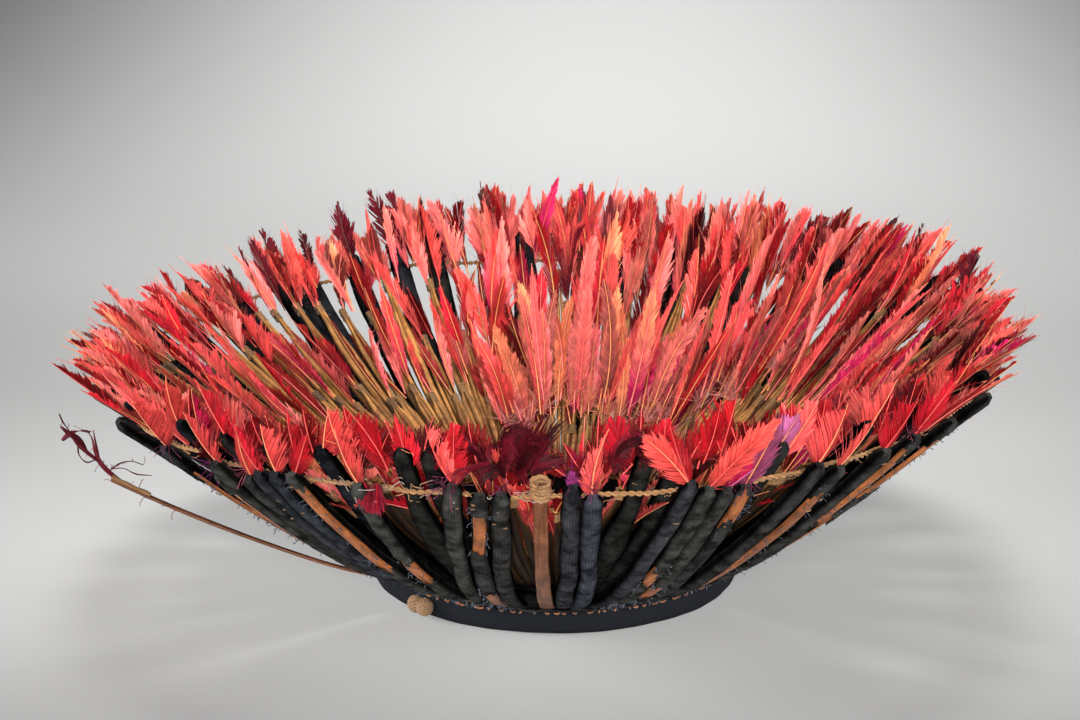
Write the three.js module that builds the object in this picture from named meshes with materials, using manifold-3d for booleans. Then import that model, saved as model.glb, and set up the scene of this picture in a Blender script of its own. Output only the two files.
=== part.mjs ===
// A bowl-shaped feathered headdress: a padded cloth head band, two rows of cloth-wrapped slats
// that rise and flare from it, a straw twine that holds the slats apart near their tips, two
// tiers of split canes on the inside, and a tier of feathers at the end of each set of stems.
// Millimetres, +Z up, origin under the middle of the band on the surface that it rests on.
// The front, where the bare slat stands, faces -Y. Azimuths run from the front towards +X.
import * as THREE from "three";
import { mergeVertices } from "three/addons/utils/BufferGeometryUtils.js";
import Module from "manifold-3d";

const wasm = await Module();
wasm.setup();

// Head band: a rolled strip of cloth round a hoop. Its section as (radius, height) corners.
const BAND_INNER = 94;
const BAND_OUTER = 104;
const BAND_HEIGHT = 13.6;
const BAND_SEGMENTS = 48;
const BAND_SECTION = [
  [BAND_INNER, 3.5],
  [BAND_INNER + 1.5, 0],
  [BAND_OUTER - 3.5, 0],
  [BAND_OUTER - 0.6, 3.5],
  [BAND_OUTER, BAND_HEIGHT * 0.6],
  [BAND_OUTER - 2, BAND_HEIGHT],
  [BAND_INNER + 2, BAND_HEIGHT],
  [BAND_INNER, BAND_HEIGHT - 2],
  [BAND_INNER, 3.5],
];

// The wall is the bowl's middle surface. In a radial plane it is a quadratic curve through three
// places (radius, height), and past its tip it goes on straight, or curls up at the front.
const WALL = {
  base: { radius: 99, height: 17.6 },
  bend: { radius: 190, height: 56 },
  tip: { radius: 249, height: 133 },
};
const WALL_LENGTH = 195; // from base to tip along the curve
const STATIONS = [0, 0.3, 0.62, 0.95, 1.08, 1.3]; // shares of the wall at which layers bend
const LEAST_STEP = 0.02; // a piece that ends this near a station doesn't bend there

// How the two sides differ from the wall's curve. The left side's tips are lower, and the right
// side rises more steeply.
const SIDES = [
  { azimuth: -90, bendRadius: -16, bendHeight: 13, tipRadius: 0, tipHeight: -9 },
  { azimuth: 90, bendRadius: -26, bendHeight: 16, tipRadius: -5, tipHeight: 7 },
];
const FRONT_CURL = 0.011; // curvature of the plumes at the front, per millimetre

// Layers of the wall, as offsets along its outward normal.
const RIB_THICK = { foot: 3.6, top: 6.4 };
const RIB_WIDE = { foot: 6, top: 8.2 };
const SLAT = { wide: 7.6, thick: 2.6 };
const ROW_OFFSET = { foot: 2.1, top: 5.2 }; // a row's middle from the wall's surface
const ROWS_PARTED = 0.35; // the share of the wall after which the two rows stand fully apart
const LAYER_GAP = 0.5;
const CANE_THICK = 3;
const CANE_WIDE = { foot: 6, top: 8 };
const CANE_COUNT = 64;

// Ribs that the front shows, left to right. Azimuths in degrees at the foot and at the tip,
// reach as a share of the wall.
const FRONT_OUTER = [
  { foot: -50.2, tip: -51.5, reach: 0.98 },
  { foot: -46.0, tip: -43.3, reach: 0.92 },
  { foot: -42.0, tip: -41.1, reach: 0.99 },
  { foot: -38.0, tip: -37.0, reach: 0.95 },
  { foot: -34.0, tip: -34.4, reach: 0.99 },
  { foot: -30.0, tip: -31.8, reach: 1.0 },
  { foot: -26.0, tip: -29.3, reach: 1.01 },
  { foot: -21.5, tip: -21.4, reach: 1.0 },
  { foot: -17.6, tip: -10.5, reach: 1.03 },
  { foot: -13.7, tip: -7.9, reach: 0.99 },
  { foot: -9.8, tip: -5.6, reach: 1.0 },
  { foot: 1.8, tip: 1.7, reach: 1.03 },
  { foot: 5.6, tip: 3.9, reach: 0.99 },
  { foot: 9.4, tip: 14.2, reach: 1.02 },
  { foot: 13.2, tip: 16.4, reach: 0.99 },
  { foot: 17.0, tip: 18.6, reach: 0.98 },
  { foot: 20.8, tip: 20.8, reach: 0.98 },
  { foot: 25.6, tip: 29.2, reach: 1.02 },
  { foot: 29.6, tip: 33.1, reach: 0.98 },
  { foot: 35.6, tip: 39.5, reach: 1.0 },
  { foot: 40.6, tip: 43.4, reach: 1.03 },
  { foot: 48.0, tip: 51.4, reach: 1.02 },
];
const FRONT_INNER = [
  { foot: -48.0, tip: -46.4, reach: 1.06 },
  { foot: -38.6, tip: -39.4, reach: 1.05 },
  { foot: -31.6, tip: -33.2, reach: 1.04 },
  { foot: -25.0, tip: -25.8, reach: 1.06 },
  { foot: -18.6, tip: -16.2, reach: 1.08 },
  { foot: -13.4, tip: -13.2, reach: 1.08 },
  { foot: 6.0, tip: 9.5, reach: 1.08 },
  { foot: 11.4, tip: 13.0, reach: 1.06 },
  { foot: 23.0, tip: 25.0, reach: 1.06 },
  { foot: 33.0, tip: 36.2, reach: 1.07 },
  { foot: 42.6, tip: 47.4, reach: 1.06 },
];
const FRONT_END = 52; // the tables hold the ribs within this many degrees of the front
const OUTER_ROUND_BACK = 20;
const INNER_ROUND_BACK = 34;
const BARE_SLAT = { foot: -2.2, tip: -1.6, reach: 0.99 };
const WANDER = { foot: 0.9, tip: 1.5, reach: 0.03 }; // how far the other ribs stray from even

// Cloth strip that the inner row is sewn to, in four lengths: how far it sinks into the ribs'
// backs at its foot and top, and how many degrees each length spans to either side.
const STRIP = { to: 0.1, thick: 1.6, sinkFoot: 0.5, sinkTop: -0.1, half: 44.6, steps: 12 };
const QUARTERS = { front: 0, right: 90, back: 180, left: 270 };
const HOOP_TOP = 0.03; // where the binding round the feet of a cane tier ends
const TWINE = { radius: 1.6, at: 0.95, segments: 72, sides: 6 };

// Feather tiers: where each starts and ends along the wall, and how its edge runs in and out.
const TUFTS = 48;
const PLUME_THICK = 3;
// The plumes of both sides are shorter by a share of the wall.
const OUTER_PLUMES = { from: 1.084, valley: 1.18, tip: 1.255, stray: 0.015, sidesShorter: 0.06 };
const MIDDLE_PLUMES = { from: 0.875, valley: 1.09, tip: 1.21, stray: 0.03, sidesShorter: 0.06 };
const INNER_PLUMES = { from: 0.465, valley: 0.68, tip: 0.88, stray: 0.03, sidesShorter: 0 };
const MIDDLE_CANE_TOP = 0.865;
const INNER_CANE_TOP = 0.455;

// Loose slat: a broken rib's core that has sprung out under the left side, with what is left
// of its feathers.
const LOOSE_SLAT = { wide: 4.4, thick: 1.6 };
const LOOSE_ROUTE = [
  { x: -84, y: -57.6, z: 14.9 },
  { x: -97, y: -64, z: 19 },
  { x: -118, y: -71, z: 26.5 },
  { x: -150, y: -75, z: 39 },
  { x: -184, y: -80, z: 54.5 },
  { x: -214, y: -77, z: 66.5 },
  { x: -238, y: -74, z: 77 },
];
const LOOSE_PLUME = [
  { x: -238.4, y: -74, z: 77.4, wide: 5 },
  { x: -244, y: -74, z: 86, wide: 11 },
  { x: -251, y: -75, z: 95, wide: 10 },
  { x: -260, y: -77, z: 104, wide: 9 },
  { x: -263, y: -78, z: 115, wide: 3 },
];
const LOOSE_PLUME_THICK = 5;
const LOOSE_PLUME_ACROSS = { x: 0.6, z: 0.8 }; // the direction of its width

// Knot of tan yarn on the band: two lobes side by side, each a ball pressed flat.
const KNOT = { azimuth: -42.5, spread: 5.2, radius: 5.4, depth: 0.8, tall: 0.95, height: 7.6 };
const KNOT_ROUND = { steps: 8, rings: 6 };

const COLOURS = {
  band: { color: 0x2b2e3b, roughness: 0.85, metalness: 0 },
  rib: { color: 0x2c3236, roughness: 0.95, metalness: 0 },
  slat: { color: 0x8a5a3a, roughness: 0.6, metalness: 0 },
  cane: { color: 0xa9773c, roughness: 0.6, metalness: 0 },
  twine: { color: 0xb98a50, roughness: 0.9, metalness: 0 },
  plume: { color: 0xd8433f, roughness: 0.7, metalness: 0 },
  innerPlume: { color: 0xdb5c4e, roughness: 0.7, metalness: 0 },
  darkPlume: { color: 0x4a1118, roughness: 0.7, metalness: 0 },
};

const group = new THREE.Group();

const radians = THREE.MathUtils.degToRad;
const mix = THREE.MathUtils.lerp;
const ease = (x) => THREE.MathUtils.smoothstep(x, 0, 1);

// How much an azimuth belongs to a side, or to the front, from 0 to 1.
function nearness(azimuth, centre, power) {
  return Math.max(0, Math.cos(radians(azimuth - centre))) ** power;
}

// The wall's three places at an azimuth, with what the sides change.
function wallPlaces(azimuth) {
  const base = new THREE.Vector2(WALL.base.radius, WALL.base.height);
  const bend = new THREE.Vector2(WALL.bend.radius, WALL.bend.height);
  const tip = new THREE.Vector2(WALL.tip.radius, WALL.tip.height);
  for (const side of SIDES) {
    const near = nearness(azimuth, side.azimuth, 2);
    bend.addScaledVector(new THREE.Vector2(side.bendRadius, side.bendHeight), near);
    tip.addScaledVector(new THREE.Vector2(side.tipRadius, side.tipHeight), near);
  }
  return { base, bend, tip };
}

// The radius and height of a place on the wall's curve, moved along the outward normal. A share
// over 1 is past the tip, where the plumes are.
function curvePlace(azimuth, share, offset) {
  const { base, bend, tip } = wallPlaces(azimuth);
  const place = new THREE.Vector2();
  const along = new THREE.Vector2();
  if (share <= 1) {
    const rest = 1 - share;
    place
      .addScaledVector(base, rest * rest)
      .addScaledVector(bend, 2 * rest * share)
      .addScaledVector(tip, share * share);
    along
      .addScaledVector(bend.clone().sub(base), rest)
      .addScaledVector(tip.clone().sub(bend), share);
    along.normalize();
  } else {
    const past = (share - 1) * WALL_LENGTH;
    const straight = tip.clone().sub(bend).normalize();
    const inward = new THREE.Vector2(-straight.y, straight.x);
    const curl = FRONT_CURL * nearness(azimuth, 0, 3);
    place
      .copy(tip)
      .addScaledVector(straight, past)
      .addScaledVector(inward, (curl * past * past) / 2);
    along.copy(straight).addScaledVector(inward, curl * past).normalize();
  }
  return new THREE.Vector2(place.x + along.y * offset, place.y - along.x * offset);
}

// A place in the wall at an azimuth in degrees, a share of the way from base to tip, and an
// offset along the outward normal. All layers bend only at the same stations, so that they keep
// their distance between them.
function wallPoint(azimuth, share, offset) {
  const found = STATIONS.findIndex((station, i) => i > 0 && share <= station);
  const after = found < 0 ? STATIONS.length - 1 : found;
  const [low, high] = [STATIONS[after - 1], STATIONS[after]];
  const place = curvePlace(azimuth, low, offset).lerp(
    curvePlace(azimuth, high, offset),
    (share - low) / (high - low),
  );
  const turn = radians(azimuth);
  return new THREE.Vector3(place.x * Math.sin(turn), -place.x * Math.cos(turn), place.y);
}

// The stations from one share of the wall to another, with both ends.
function stationsBetween(from, to) {
  const inner = STATIONS.filter(
    (station) => station > from + LEAST_STEP && station < to - LEAST_STEP,
  );
  return [from, ...inner, to];
}

// A closed surface through sections with the same number of corners, either with both ends
// capped or joined into a loop.
function skin(sections, loop = false) {
  const corners = sections[0].length;
  const position = [];
  const index = [];
  for (const section of sections) {
    for (const p of section) position.push(p.x, p.y, p.z);
  }
  const steps = loop ? sections.length : sections.length - 1;
  for (let i = 0; i < steps; i++) {
    const here = i * corners;
    const next = ((i + 1) % sections.length) * corners;
    for (let j = 0; j < corners; j++) {
      const k = (j + 1) % corners;
      index.push(here + j, here + k, next + k, here + j, next + k, next + j);
    }
  }
  if (!loop) {
    const last = (sections.length - 1) * corners;
    for (let j = 1; j < corners - 1; j++) {
      index.push(0, j + 1, j, last, last + j, last + j + 1);
    }
  }
  const made = new THREE.BufferGeometry();
  made.setAttribute("position", new THREE.Float32BufferAttribute(position, 3));
  made.setIndex(index);
  return made;
}

// Joins geometries that overlap into one closed geometry.
function joined(geometries) {
  const solids = geometries.map((geometry) => {
    const plain = geometry.clone();
    plain.deleteAttribute("normal");
    plain.deleteAttribute("uv");
    const merged = mergeVertices(plain, 1e-4);
    return new wasm.Manifold(
      new wasm.Mesh({
        numProp: 3,
        vertProperties: merged.attributes.position.array,
        triVerts: new Uint32Array(merged.index.array),
      }),
    );
  });
  const mesh = wasm.Manifold.union(solids).getMesh();
  const made = new THREE.BufferGeometry();
  made.setAttribute("position", new THREE.BufferAttribute(mesh.vertProperties, 3));
  made.setIndex(new THREE.BufferAttribute(mesh.triVerts, 1));
  return made;
}

// A section of a thin wall that runs round the bowl: its top and bottom edge at an azimuth, each
// given by its share of the wall, its offset and its thickness.
function roundWall(azimuth, top, bottom) {
  return [
    wallPoint(azimuth, top.share, top.offset + top.thick / 2),
    wallPoint(azimuth, bottom.share, bottom.offset + bottom.thick / 2),
    wallPoint(azimuth, bottom.share, bottom.offset - bottom.thick / 2),
    wallPoint(azimuth, top.share, top.offset - top.thick / 2),
  ];
}

function addPiece(name, geometry, look) {
  geometry.computeVertexNormals();
  const piece = new THREE.Mesh(geometry, new THREE.MeshStandardMaterial(COLOURS[look]));
  piece.name = name;
  group.add(piece);
  return piece;
}

// The places round a section that lies across the wall: corners given as shares of its width
// and thickness, and its middle as an azimuth, a share of the wall and an offset. Each corner
// keeps to the wall at its own azimuth, so layers keep their distance where the sides differ.
function acrossWall(corners, azimuth, share, offset, wide, thick) {
  const middle = wallPoint(azimuth, share, offset);
  const degrees = THREE.MathUtils.radToDeg(wide / Math.hypot(middle.x, middle.y));
  return corners.map(([side, out]) =>
    wallPoint(azimuth + side * degrees, share, offset + out * thick),
  );
}

const TUBE_SECTION = [
  [-0.5, 0],
  [-0.26, 0.5],
  [0.26, 0.5],
  [0.5, 0],
  [0.26, -0.5],
  [-0.26, -0.5],
];
const FLAT_SECTION = [
  [-0.5, 0.5],
  [0.5, 0.5],
  [0.5, -0.5],
  [-0.5, -0.5],
];

// How far a row's middle stands off the wall's surface at a share of the wall.
function rowOffset(share) {
  return mix(ROW_OFFSET.foot, ROW_OFFSET.top, ease(share / ROWS_PARTED));
}

// One cloth-wrapped rib of the outer row (side 1) or the inner row (side -1).
function ribGeometry(rib, side) {
  const sections = stationsBetween(0, rib.reach).map((share) => {
    const grown = ease(share / ROWS_PARTED);
    return acrossWall(
      TUBE_SECTION,
      mix(rib.foot, rib.tip, share / rib.reach),
      share,
      side * rowOffset(share),
      mix(RIB_WIDE.foot, RIB_WIDE.top, grown),
      mix(RIB_THICK.foot, RIB_THICK.top, grown),
    );
  });
  return skin(sections);
}

// Ribs round the sides and the back: even steps, with a small regular stray.
function roundBack(count, phase) {
  const step = (360 - 2 * FRONT_END) / (count + 1);
  return Array.from({ length: count }, (_, i) => {
    const even = FRONT_END + (i + 1) * step;
    return {
      foot: even + WANDER.foot * Math.sin(2.1 * i + phase),
      tip: even + WANDER.tip * Math.sin(3.7 * i + phase),
      reach: 1 + phase * 0.04 + WANDER.reach * Math.sin(5.3 * i + phase),
    };
  });
}

function addBand() {
  const profile = BAND_SECTION.map(([radius, height]) => new THREE.Vector2(radius, height));
  const band = new THREE.LatheGeometry(profile, BAND_SEGMENTS);
  band.rotateX(Math.PI / 2); // the lathe turns about Y, and the part stands on Z
  addPiece("head_band", band, "band");
}

function addOuterRibs() {
  const ribs = [...FRONT_OUTER, ...roundBack(OUTER_ROUND_BACK, 0)];
  ribs.forEach((rib, i) => {
    addPiece("outer_rib_" + String(i + 1).padStart(2, "0"), ribGeometry(rib, 1), "rib");
  });
}

// The bare slat stands in the outer row at its foot and leans in behind the twine at its tip.
function addBareSlat() {
  const sections = stationsBetween(0, BARE_SLAT.reach).map((share) => {
    const along = share / BARE_SLAT.reach;
    return acrossWall(
      FLAT_SECTION,
      mix(BARE_SLAT.foot, BARE_SLAT.tip, along),
      share,
      mix(ROW_OFFSET.foot, -TWINE.radius - SLAT.thick / 2 - 2 * LAYER_GAP, along),
      mix(RIB_WIDE.foot, SLAT.wide, ease(share / ROWS_PARTED)),
      SLAT.thick,
    );
  });
  addPiece("bare_slat", skin(sections), "slat");
}

// The strip's edge at a share of the wall.
function stripEdge(share, sink) {
  const offset = -(ROW_OFFSET.foot + RIB_THICK.foot / 2 + STRIP.thick / 2 - sink);
  return { share, offset, thick: STRIP.thick };
}

function addInnerRibs() {
  const ribs = [...FRONT_INNER, ...roundBack(INNER_ROUND_BACK, 1)];
  for (const [side, middle] of Object.entries(QUARTERS)) {
    const mine = ribs.filter((rib) => {
      const fromStart = THREE.MathUtils.euclideanModulo(rib.foot - middle + 45, 360);
      return fromStart < 90;
    });
    const strip = Array.from({ length: STRIP.steps + 1 }, (_, i) => {
      const azimuth = middle + mix(-STRIP.half, STRIP.half, i / STRIP.steps);
      return roundWall(
        azimuth,
        stripEdge(STRIP.to, STRIP.sinkTop),
        stripEdge(0, STRIP.sinkFoot),
      );
    });
    addPiece(
      "inner_ribs_" + side,
      joined([skin(strip), ...mine.map((rib) => ribGeometry(rib, -1))]),
      "rib",
    );
  }
}

// Where the middle of a cane tier lies. Tier 0 is the one against the inner ribs.
function caneOffset(share, tier) {
  const againstRibs = rowOffset(share) + mix(RIB_THICK.foot, RIB_THICK.top, ease(share / ROWS_PARTED)) / 2;
  const strip = STRIP.thick * (1 - ease((share - STRIP.to) / ROWS_PARTED));
  return -(againstRibs + strip + LAYER_GAP + CANE_THICK / 2 + tier * (CANE_THICK + LAYER_GAP));
}

// A closed comb: teeth with four corners that share one hoop between their first two sections.
// Each tooth is a list of sections. The teeth go once round, or have a first and a last.
function comb(teeth, loop) {
  const position = [];
  const index = [];
  const sections = teeth[0].length;
  const at = (tooth, section, corner) =>
    ((tooth % teeth.length) * sections + section) * 4 + corner;
  const quad = (a, b, c, d) => index.push(a, b, c, a, c, d);
  teeth.forEach((tooth, i) => {
    for (const p of tooth.flat()) position.push(p.x, p.y, p.z);
    const first = !loop && i === 0;
    const last = !loop && i === teeth.length - 1;
    for (let s = 0; s < sections - 1; s++) {
      const hoopSides = [0, ...(last ? [1] : []), 2, ...(first ? [3] : [])];
      for (const j of s === 0 ? hoopSides : [0, 1, 2, 3]) {
        const k = (j + 1) % 4;
        quad(at(i, s, j), at(i, s, k), at(i, s + 1, k), at(i, s + 1, j));
      }
    }
    const top = sections - 1;
    quad(at(i, top, 0), at(i, top, 1), at(i, top, 2), at(i, top, 3));
    quad(at(i, 0, 3), at(i, 0, 2), at(i, 0, 1), at(i, 0, 0));
    if (last) return;
    quad(at(i, 0, 1), at(i + 1, 0, 0), at(i + 1, 1, 0), at(i, 1, 1));
    quad(at(i + 1, 0, 3), at(i, 0, 2), at(i, 1, 2), at(i + 1, 1, 3));
    quad(at(i, 1, 1), at(i + 1, 1, 0), at(i + 1, 1, 3), at(i, 1, 2));
    quad(at(i, 0, 2), at(i + 1, 0, 3), at(i + 1, 0, 0), at(i, 0, 1));
  });
  const made = new THREE.BufferGeometry();
  made.setAttribute("position", new THREE.Float32BufferAttribute(position, 3));
  made.setIndex(index);
  return made;
}

// Canes of a tier, bound side by side round their feet: so many, from the first one on.
function addCanes(name, tier, top, first = 0, count = CANE_COUNT) {
  const canes = Array.from({ length: count }, (_, i) =>
    [0, HOOP_TOP, ...stationsBetween(HOOP_TOP, top).slice(1)].map((share) =>
      acrossWall(
        FLAT_SECTION,
        ((first + i + tier / 2) * 360) / CANE_COUNT,
        share,
        caneOffset(share, tier),
        mix(CANE_WIDE.foot, CANE_WIDE.top, ease(share / ROWS_PARTED)),
        CANE_THICK,
      ),
    ),
  );
  addPiece(name, comb(canes, count === CANE_COUNT), "cane");
}

function addTwine() {
  const sections = Array.from({ length: TWINE.segments }, (_, i) => {
    const azimuth = (i * 360) / TWINE.segments;
    return Array.from({ length: TWINE.sides }, (_, j) => {
      const turn = (-2 * Math.PI * j) / TWINE.sides;
      const share = TWINE.at + (TWINE.radius * Math.sin(turn)) / WALL_LENGTH;
      return wallPoint(azimuth, share, TWINE.radius * Math.cos(turn));
    });
  });
  addPiece("rim_twine", skin(sections, true), "twine");
}

// A tier of feathers as the solid of its outer form: a thin wall whose edge runs in and out.
function addPlumes(name, plumes, offset, look) {
  const lowestEdge = plumes.valley - plumes.sidesShorter - plumes.stray;
  const fixed = stationsBetween(plumes.from, lowestEdge).slice(0, -1);
  const sections = Array.from({ length: 2 * TUFTS }, (_, i) => {
    const azimuth = (i * 180) / TUFTS;
    const shorter = plumes.sidesShorter * Math.sin(radians(azimuth)) ** 4;
    const edge = (i % 2 ? plumes.tip : plumes.valley) + plumes.stray * Math.sin(2.7 * i) - shorter;
    const face = (out) =>
      [...fixed, edge].map((share) => wallPoint(azimuth, share, offset(share) + out));
    return [...face(PLUME_THICK / 2).reverse(), ...face(-PLUME_THICK / 2)];
  });
  addPiece(name, skin(sections, true), look);
}

function addLooseSlat() {
  const route = LOOSE_ROUTE.map(({ x, y, z }) => new THREE.Vector3(x, y, z));
  const sections = route.map((place, i) => {
    const before = route[Math.max(0, i - 1)];
    const after = route[Math.min(route.length - 1, i + 1)];
    const along = after.clone().sub(before).normalize();
    const wide = new THREE.Vector3(0, 0, 1).cross(along).normalize();
    const thick = along.clone().cross(wide);
    return FLAT_SECTION.map(([side, out]) =>
      place
        .clone()
        .addScaledVector(wide, side * LOOSE_SLAT.wide)
        .addScaledVector(thick, -out * LOOSE_SLAT.thick),
    );
  });
  addPiece("loose_slat", skin(sections), "slat");
}

function addLoosePlume() {
  const sections = LOOSE_PLUME.map(({ x, y, z, wide }) =>
    FLAT_SECTION.map(
      ([side, out]) =>
        new THREE.Vector3(
          x + side * wide * LOOSE_PLUME_ACROSS.x,
          y - out * LOOSE_PLUME_THICK,
          z + side * wide * LOOSE_PLUME_ACROSS.z,
        ),
    ),
  );
  addPiece("loose_plume", skin(sections), "darkPlume");
}

function addKnot() {
  const lobes = [-1, 1].map((side) => {
    const out = BAND_OUTER + KNOT.radius * KNOT.depth + 0.3;
    const turn = radians(KNOT.azimuth) + (side * KNOT.spread) / 2 / out;
    const lobe = new THREE.SphereGeometry(KNOT.radius, KNOT_ROUND.steps, KNOT_ROUND.rings);
    lobe.scale(1, KNOT.depth, KNOT.tall);
    lobe.rotateZ(turn);
    lobe.translate(out * Math.sin(turn), -out * Math.cos(turn), KNOT.height);
    return lobe;
  });
  addPiece("band_knot", joined(lobes), "twine");
}

addBand();
addOuterRibs();
addBareSlat();
addInnerRibs();
for (const [side, middle] of Object.entries(QUARTERS)) {
  const quarter = CANE_COUNT / 4;
  const first = (middle * CANE_COUNT) / 360 - quarter / 2;
  addCanes(`middle_canes_${side}`, 0, MIDDLE_CANE_TOP, first, quarter);
}
addCanes("inner_canes", 1, INNER_CANE_TOP);
addTwine();
addPlumes("outer_plumes", OUTER_PLUMES, () => -ROW_OFFSET.top, "plume");
addPlumes("middle_plumes", MIDDLE_PLUMES, (share) => caneOffset(share, 0), "plume");
addPlumes("inner_plumes", INNER_PLUMES, (share) => caneOffset(share, 1), "innerPlume");
addLooseSlat();
addLoosePlume();
addKnot();

// The origin lies under the middle of the whole.
const box = new THREE.Box3().setFromObject(group, true);
const middle = box.getCenter(new THREE.Vector3());
group.position.set(-middle.x, -middle.y, -box.min.z);

export default group;
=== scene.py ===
"""A bowl-shaped feathered headdress: cloth-wrapped slats on a padded band, canes inside, and
tiers of dyed feathers. Shapes are worked out in millimetres round the middle of the band, with
azimuths in degrees from the front (-Y) towards +X, and placed in the frame in metres."""
import math

import bpy
import numpy as np
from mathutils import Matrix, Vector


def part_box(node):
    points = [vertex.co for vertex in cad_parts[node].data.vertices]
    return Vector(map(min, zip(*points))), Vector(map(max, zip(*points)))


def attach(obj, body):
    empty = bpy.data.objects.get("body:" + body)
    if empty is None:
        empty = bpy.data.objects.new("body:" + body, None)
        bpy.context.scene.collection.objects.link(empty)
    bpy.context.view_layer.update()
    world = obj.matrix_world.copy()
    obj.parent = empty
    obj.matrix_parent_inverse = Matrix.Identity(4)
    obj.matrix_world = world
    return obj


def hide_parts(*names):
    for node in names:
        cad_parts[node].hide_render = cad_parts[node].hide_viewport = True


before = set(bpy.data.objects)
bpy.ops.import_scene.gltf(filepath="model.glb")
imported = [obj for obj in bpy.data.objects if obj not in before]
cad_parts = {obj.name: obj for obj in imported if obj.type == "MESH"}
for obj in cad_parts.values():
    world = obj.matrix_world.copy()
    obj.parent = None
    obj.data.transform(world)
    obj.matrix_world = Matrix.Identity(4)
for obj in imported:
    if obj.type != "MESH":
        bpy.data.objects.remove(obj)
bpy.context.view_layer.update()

band_low, band_high = (np.array(corner) * 1000 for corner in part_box("head_band"))
BAND_CENTRE = np.array([*(band_low[:2] + band_high[:2]) / 2, band_low[2]])
BAND_OUTER = (band_high[0] - band_low[0]) / 2
BAND_TOP = band_high[2]
BAND_INNER = BAND_OUTER - 10

# The bowl's middle surface, as in the frame: a quadratic curve through (radius, height).
WALL_BASE = np.array([99.0, 17.6])
WALL_BEND = np.array([190.0, 56.0])
WALL_TIP = np.array([249.0, 133.0])
WALL_LENGTH = 195.0
# How the left and the right side differ: azimuth, then what is added to the bend and the tip.
SIDES = (
    (-90, np.array([-16.0, 13.0]), np.array([0.0, -9.0])),
    (90, np.array([-26.0, 16.0]), np.array([-5.0, 7.0])),
)
# How sharply the feathers at the front curl up past the wall's tip, per mm.
FRONT_CURL = 0.011

# Sizes in mm of what stands on the wall; a pair goes from the foot to the top.
RIB_THICK = (3.8, 6.6)
RIB_WIDE = (6.4, 8.6)
ROW_OFFSET = (2.1, 5.2)
CANE_THICK = 3.0
CANE_WIDE = (6.4, 9.8)
LAYER_GAP = 0.5
STRIP_THICK = 1.6
CANE_COUNT = 84
# Shares of the wall's length: where the rows stand fully apart, where the canes of each tier
# end, and where the twine runs.
ROWS_PARTED = 0.35
MIDDLE_CANE_TOP = 0.865
INNER_CANE_TOP = 0.455
TWINE_SHARE = 0.95
# Azimuths: how far the tables of the front's ribs reach, and half of what a quarter's strip spans.
FRONT_END = 52
STRIP_HALF = 44.6

# Ribs of the front, left to right: azimuth at the foot and the tip, and reach as a share of the
# wall's length.
FRONT_OUTER = (
    (-50.2, -51.5, 0.98), (-46.0, -43.3, 0.92), (-42.0, -41.1, 0.99), (-38.0, -37.0, 0.95),
    (-34.0, -34.4, 0.99), (-30.0, -31.8, 1.00), (-26.0, -29.3, 1.01), (-21.5, -21.4, 1.00),
    (-17.6, -10.5, 1.03), (-13.7, -7.9, 0.99), (-9.8, -5.6, 1.00), (1.8, 1.7, 1.03),
    (5.6, 3.9, 0.99), (9.4, 14.2, 1.02), (13.2, 16.4, 0.99), (17.0, 18.6, 0.98),
    (20.8, 20.8, 0.98), (25.6, 29.2, 1.02), (29.6, 33.1, 0.98), (35.6, 39.5, 1.00),
    (40.6, 43.4, 1.03), (48.0, 51.4, 1.02),
)
FRONT_INNER = (
    (-48.0, -46.4, 1.06), (-38.6, -39.4, 1.05), (-31.6, -33.2, 1.04), (-25.0, -25.8, 1.06),
    (-18.6, -16.2, 1.08), (-13.4, -13.2, 1.08), (6.0, 9.5, 1.08), (11.4, 13.0, 1.06),
    (23.0, 25.0, 1.06), (33.0, 36.2, 1.07), (42.6, 47.4, 1.06),
)
BARE_SLAT = (-2.2, -1.6, 0.99)
QUARTERS = {"front": 0, "right": 90, "back": 180, "left": 270}
# Where the cloth has worn through on the outside of a rib, as shares of its length.
TORN = {
    1: ((0.15, 0.85),), 2: ((0.0, 0.22), (0.5, 0.9)), 7: ((0.0, 0.22), (0.5, 0.97)), 3: ((0.0, 0.3),),
    8: ((0.02, 0.2), (0.44, 0.6)), 10: ((0.02, 0.42), (0.74, 0.93)), 15: ((0.02, 0.26), (0.48, 0.56)),
    16: ((0.03, 0.14), (0.3, 0.42)), 17: ((0.84, 0.97),), 19: ((0.05, 0.9),),
    21: ((0.1, 0.3), (0.62, 0.96)), 22: ((0.0, 0.55), (0.7, 0.95)), 42: ((0.05, 0.8),),
    40: ((0.3, 0.7),), 24: ((0.2, 0.75),),
}

# Dye and cloth colours as they look, sRGB.
CORAL, SALMON, PEACH = "#e6544f", "#ea766e", "#e98a63"
CRIMSON, MAGENTA, DEEP_RED = "#cd1f2e", "#c61c5b", "#8e0b1a"
MAROON, DRIED_ROSE, MAUVE = "#5c0c1a", "#a5544a", "#a3527a"
DOWN_PINK, SHAFT_PEACH, SHAFT_DARK = "#d9857a", "#e9935a", "#5a2c22"
WOOL_BLACK, WOOL_BLUE, WOOL_GREEN = "#1b1a1a", "#212328", "#252523"
WOOL_FRAYED, TWILL_INDIGO, PLUM, RUSSET = "#303947", "#121316", "#7c2a66", "#7e3038"
SLAT_BROWN, SLAT_ORANGE, CANE_GOLD, CANE_BROWN = "#6a3f27", "#9a5a30", "#c48a4c", "#96602f"
STRAW, TAN_YARN, GREY_THREAD = "#8a6138", "#7a5630", "#8d8076"

rng = np.random.default_rng(7)


def linear(hex_colour):
    """An sRGB hex colour as linear red, green and blue."""
    channels = np.array([int(hex_colour[i:i + 2], 16) for i in (1, 3, 5)]) / 255
    return np.where(channels <= 0.04045, channels / 12.92, ((channels + 0.055) / 1.055) ** 2.4)


def blend_of(first, second, share):
    """Two hex colours mixed, as linear red, green and blue."""
    return linear(first) * (1 - share) + linear(second) * share


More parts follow.
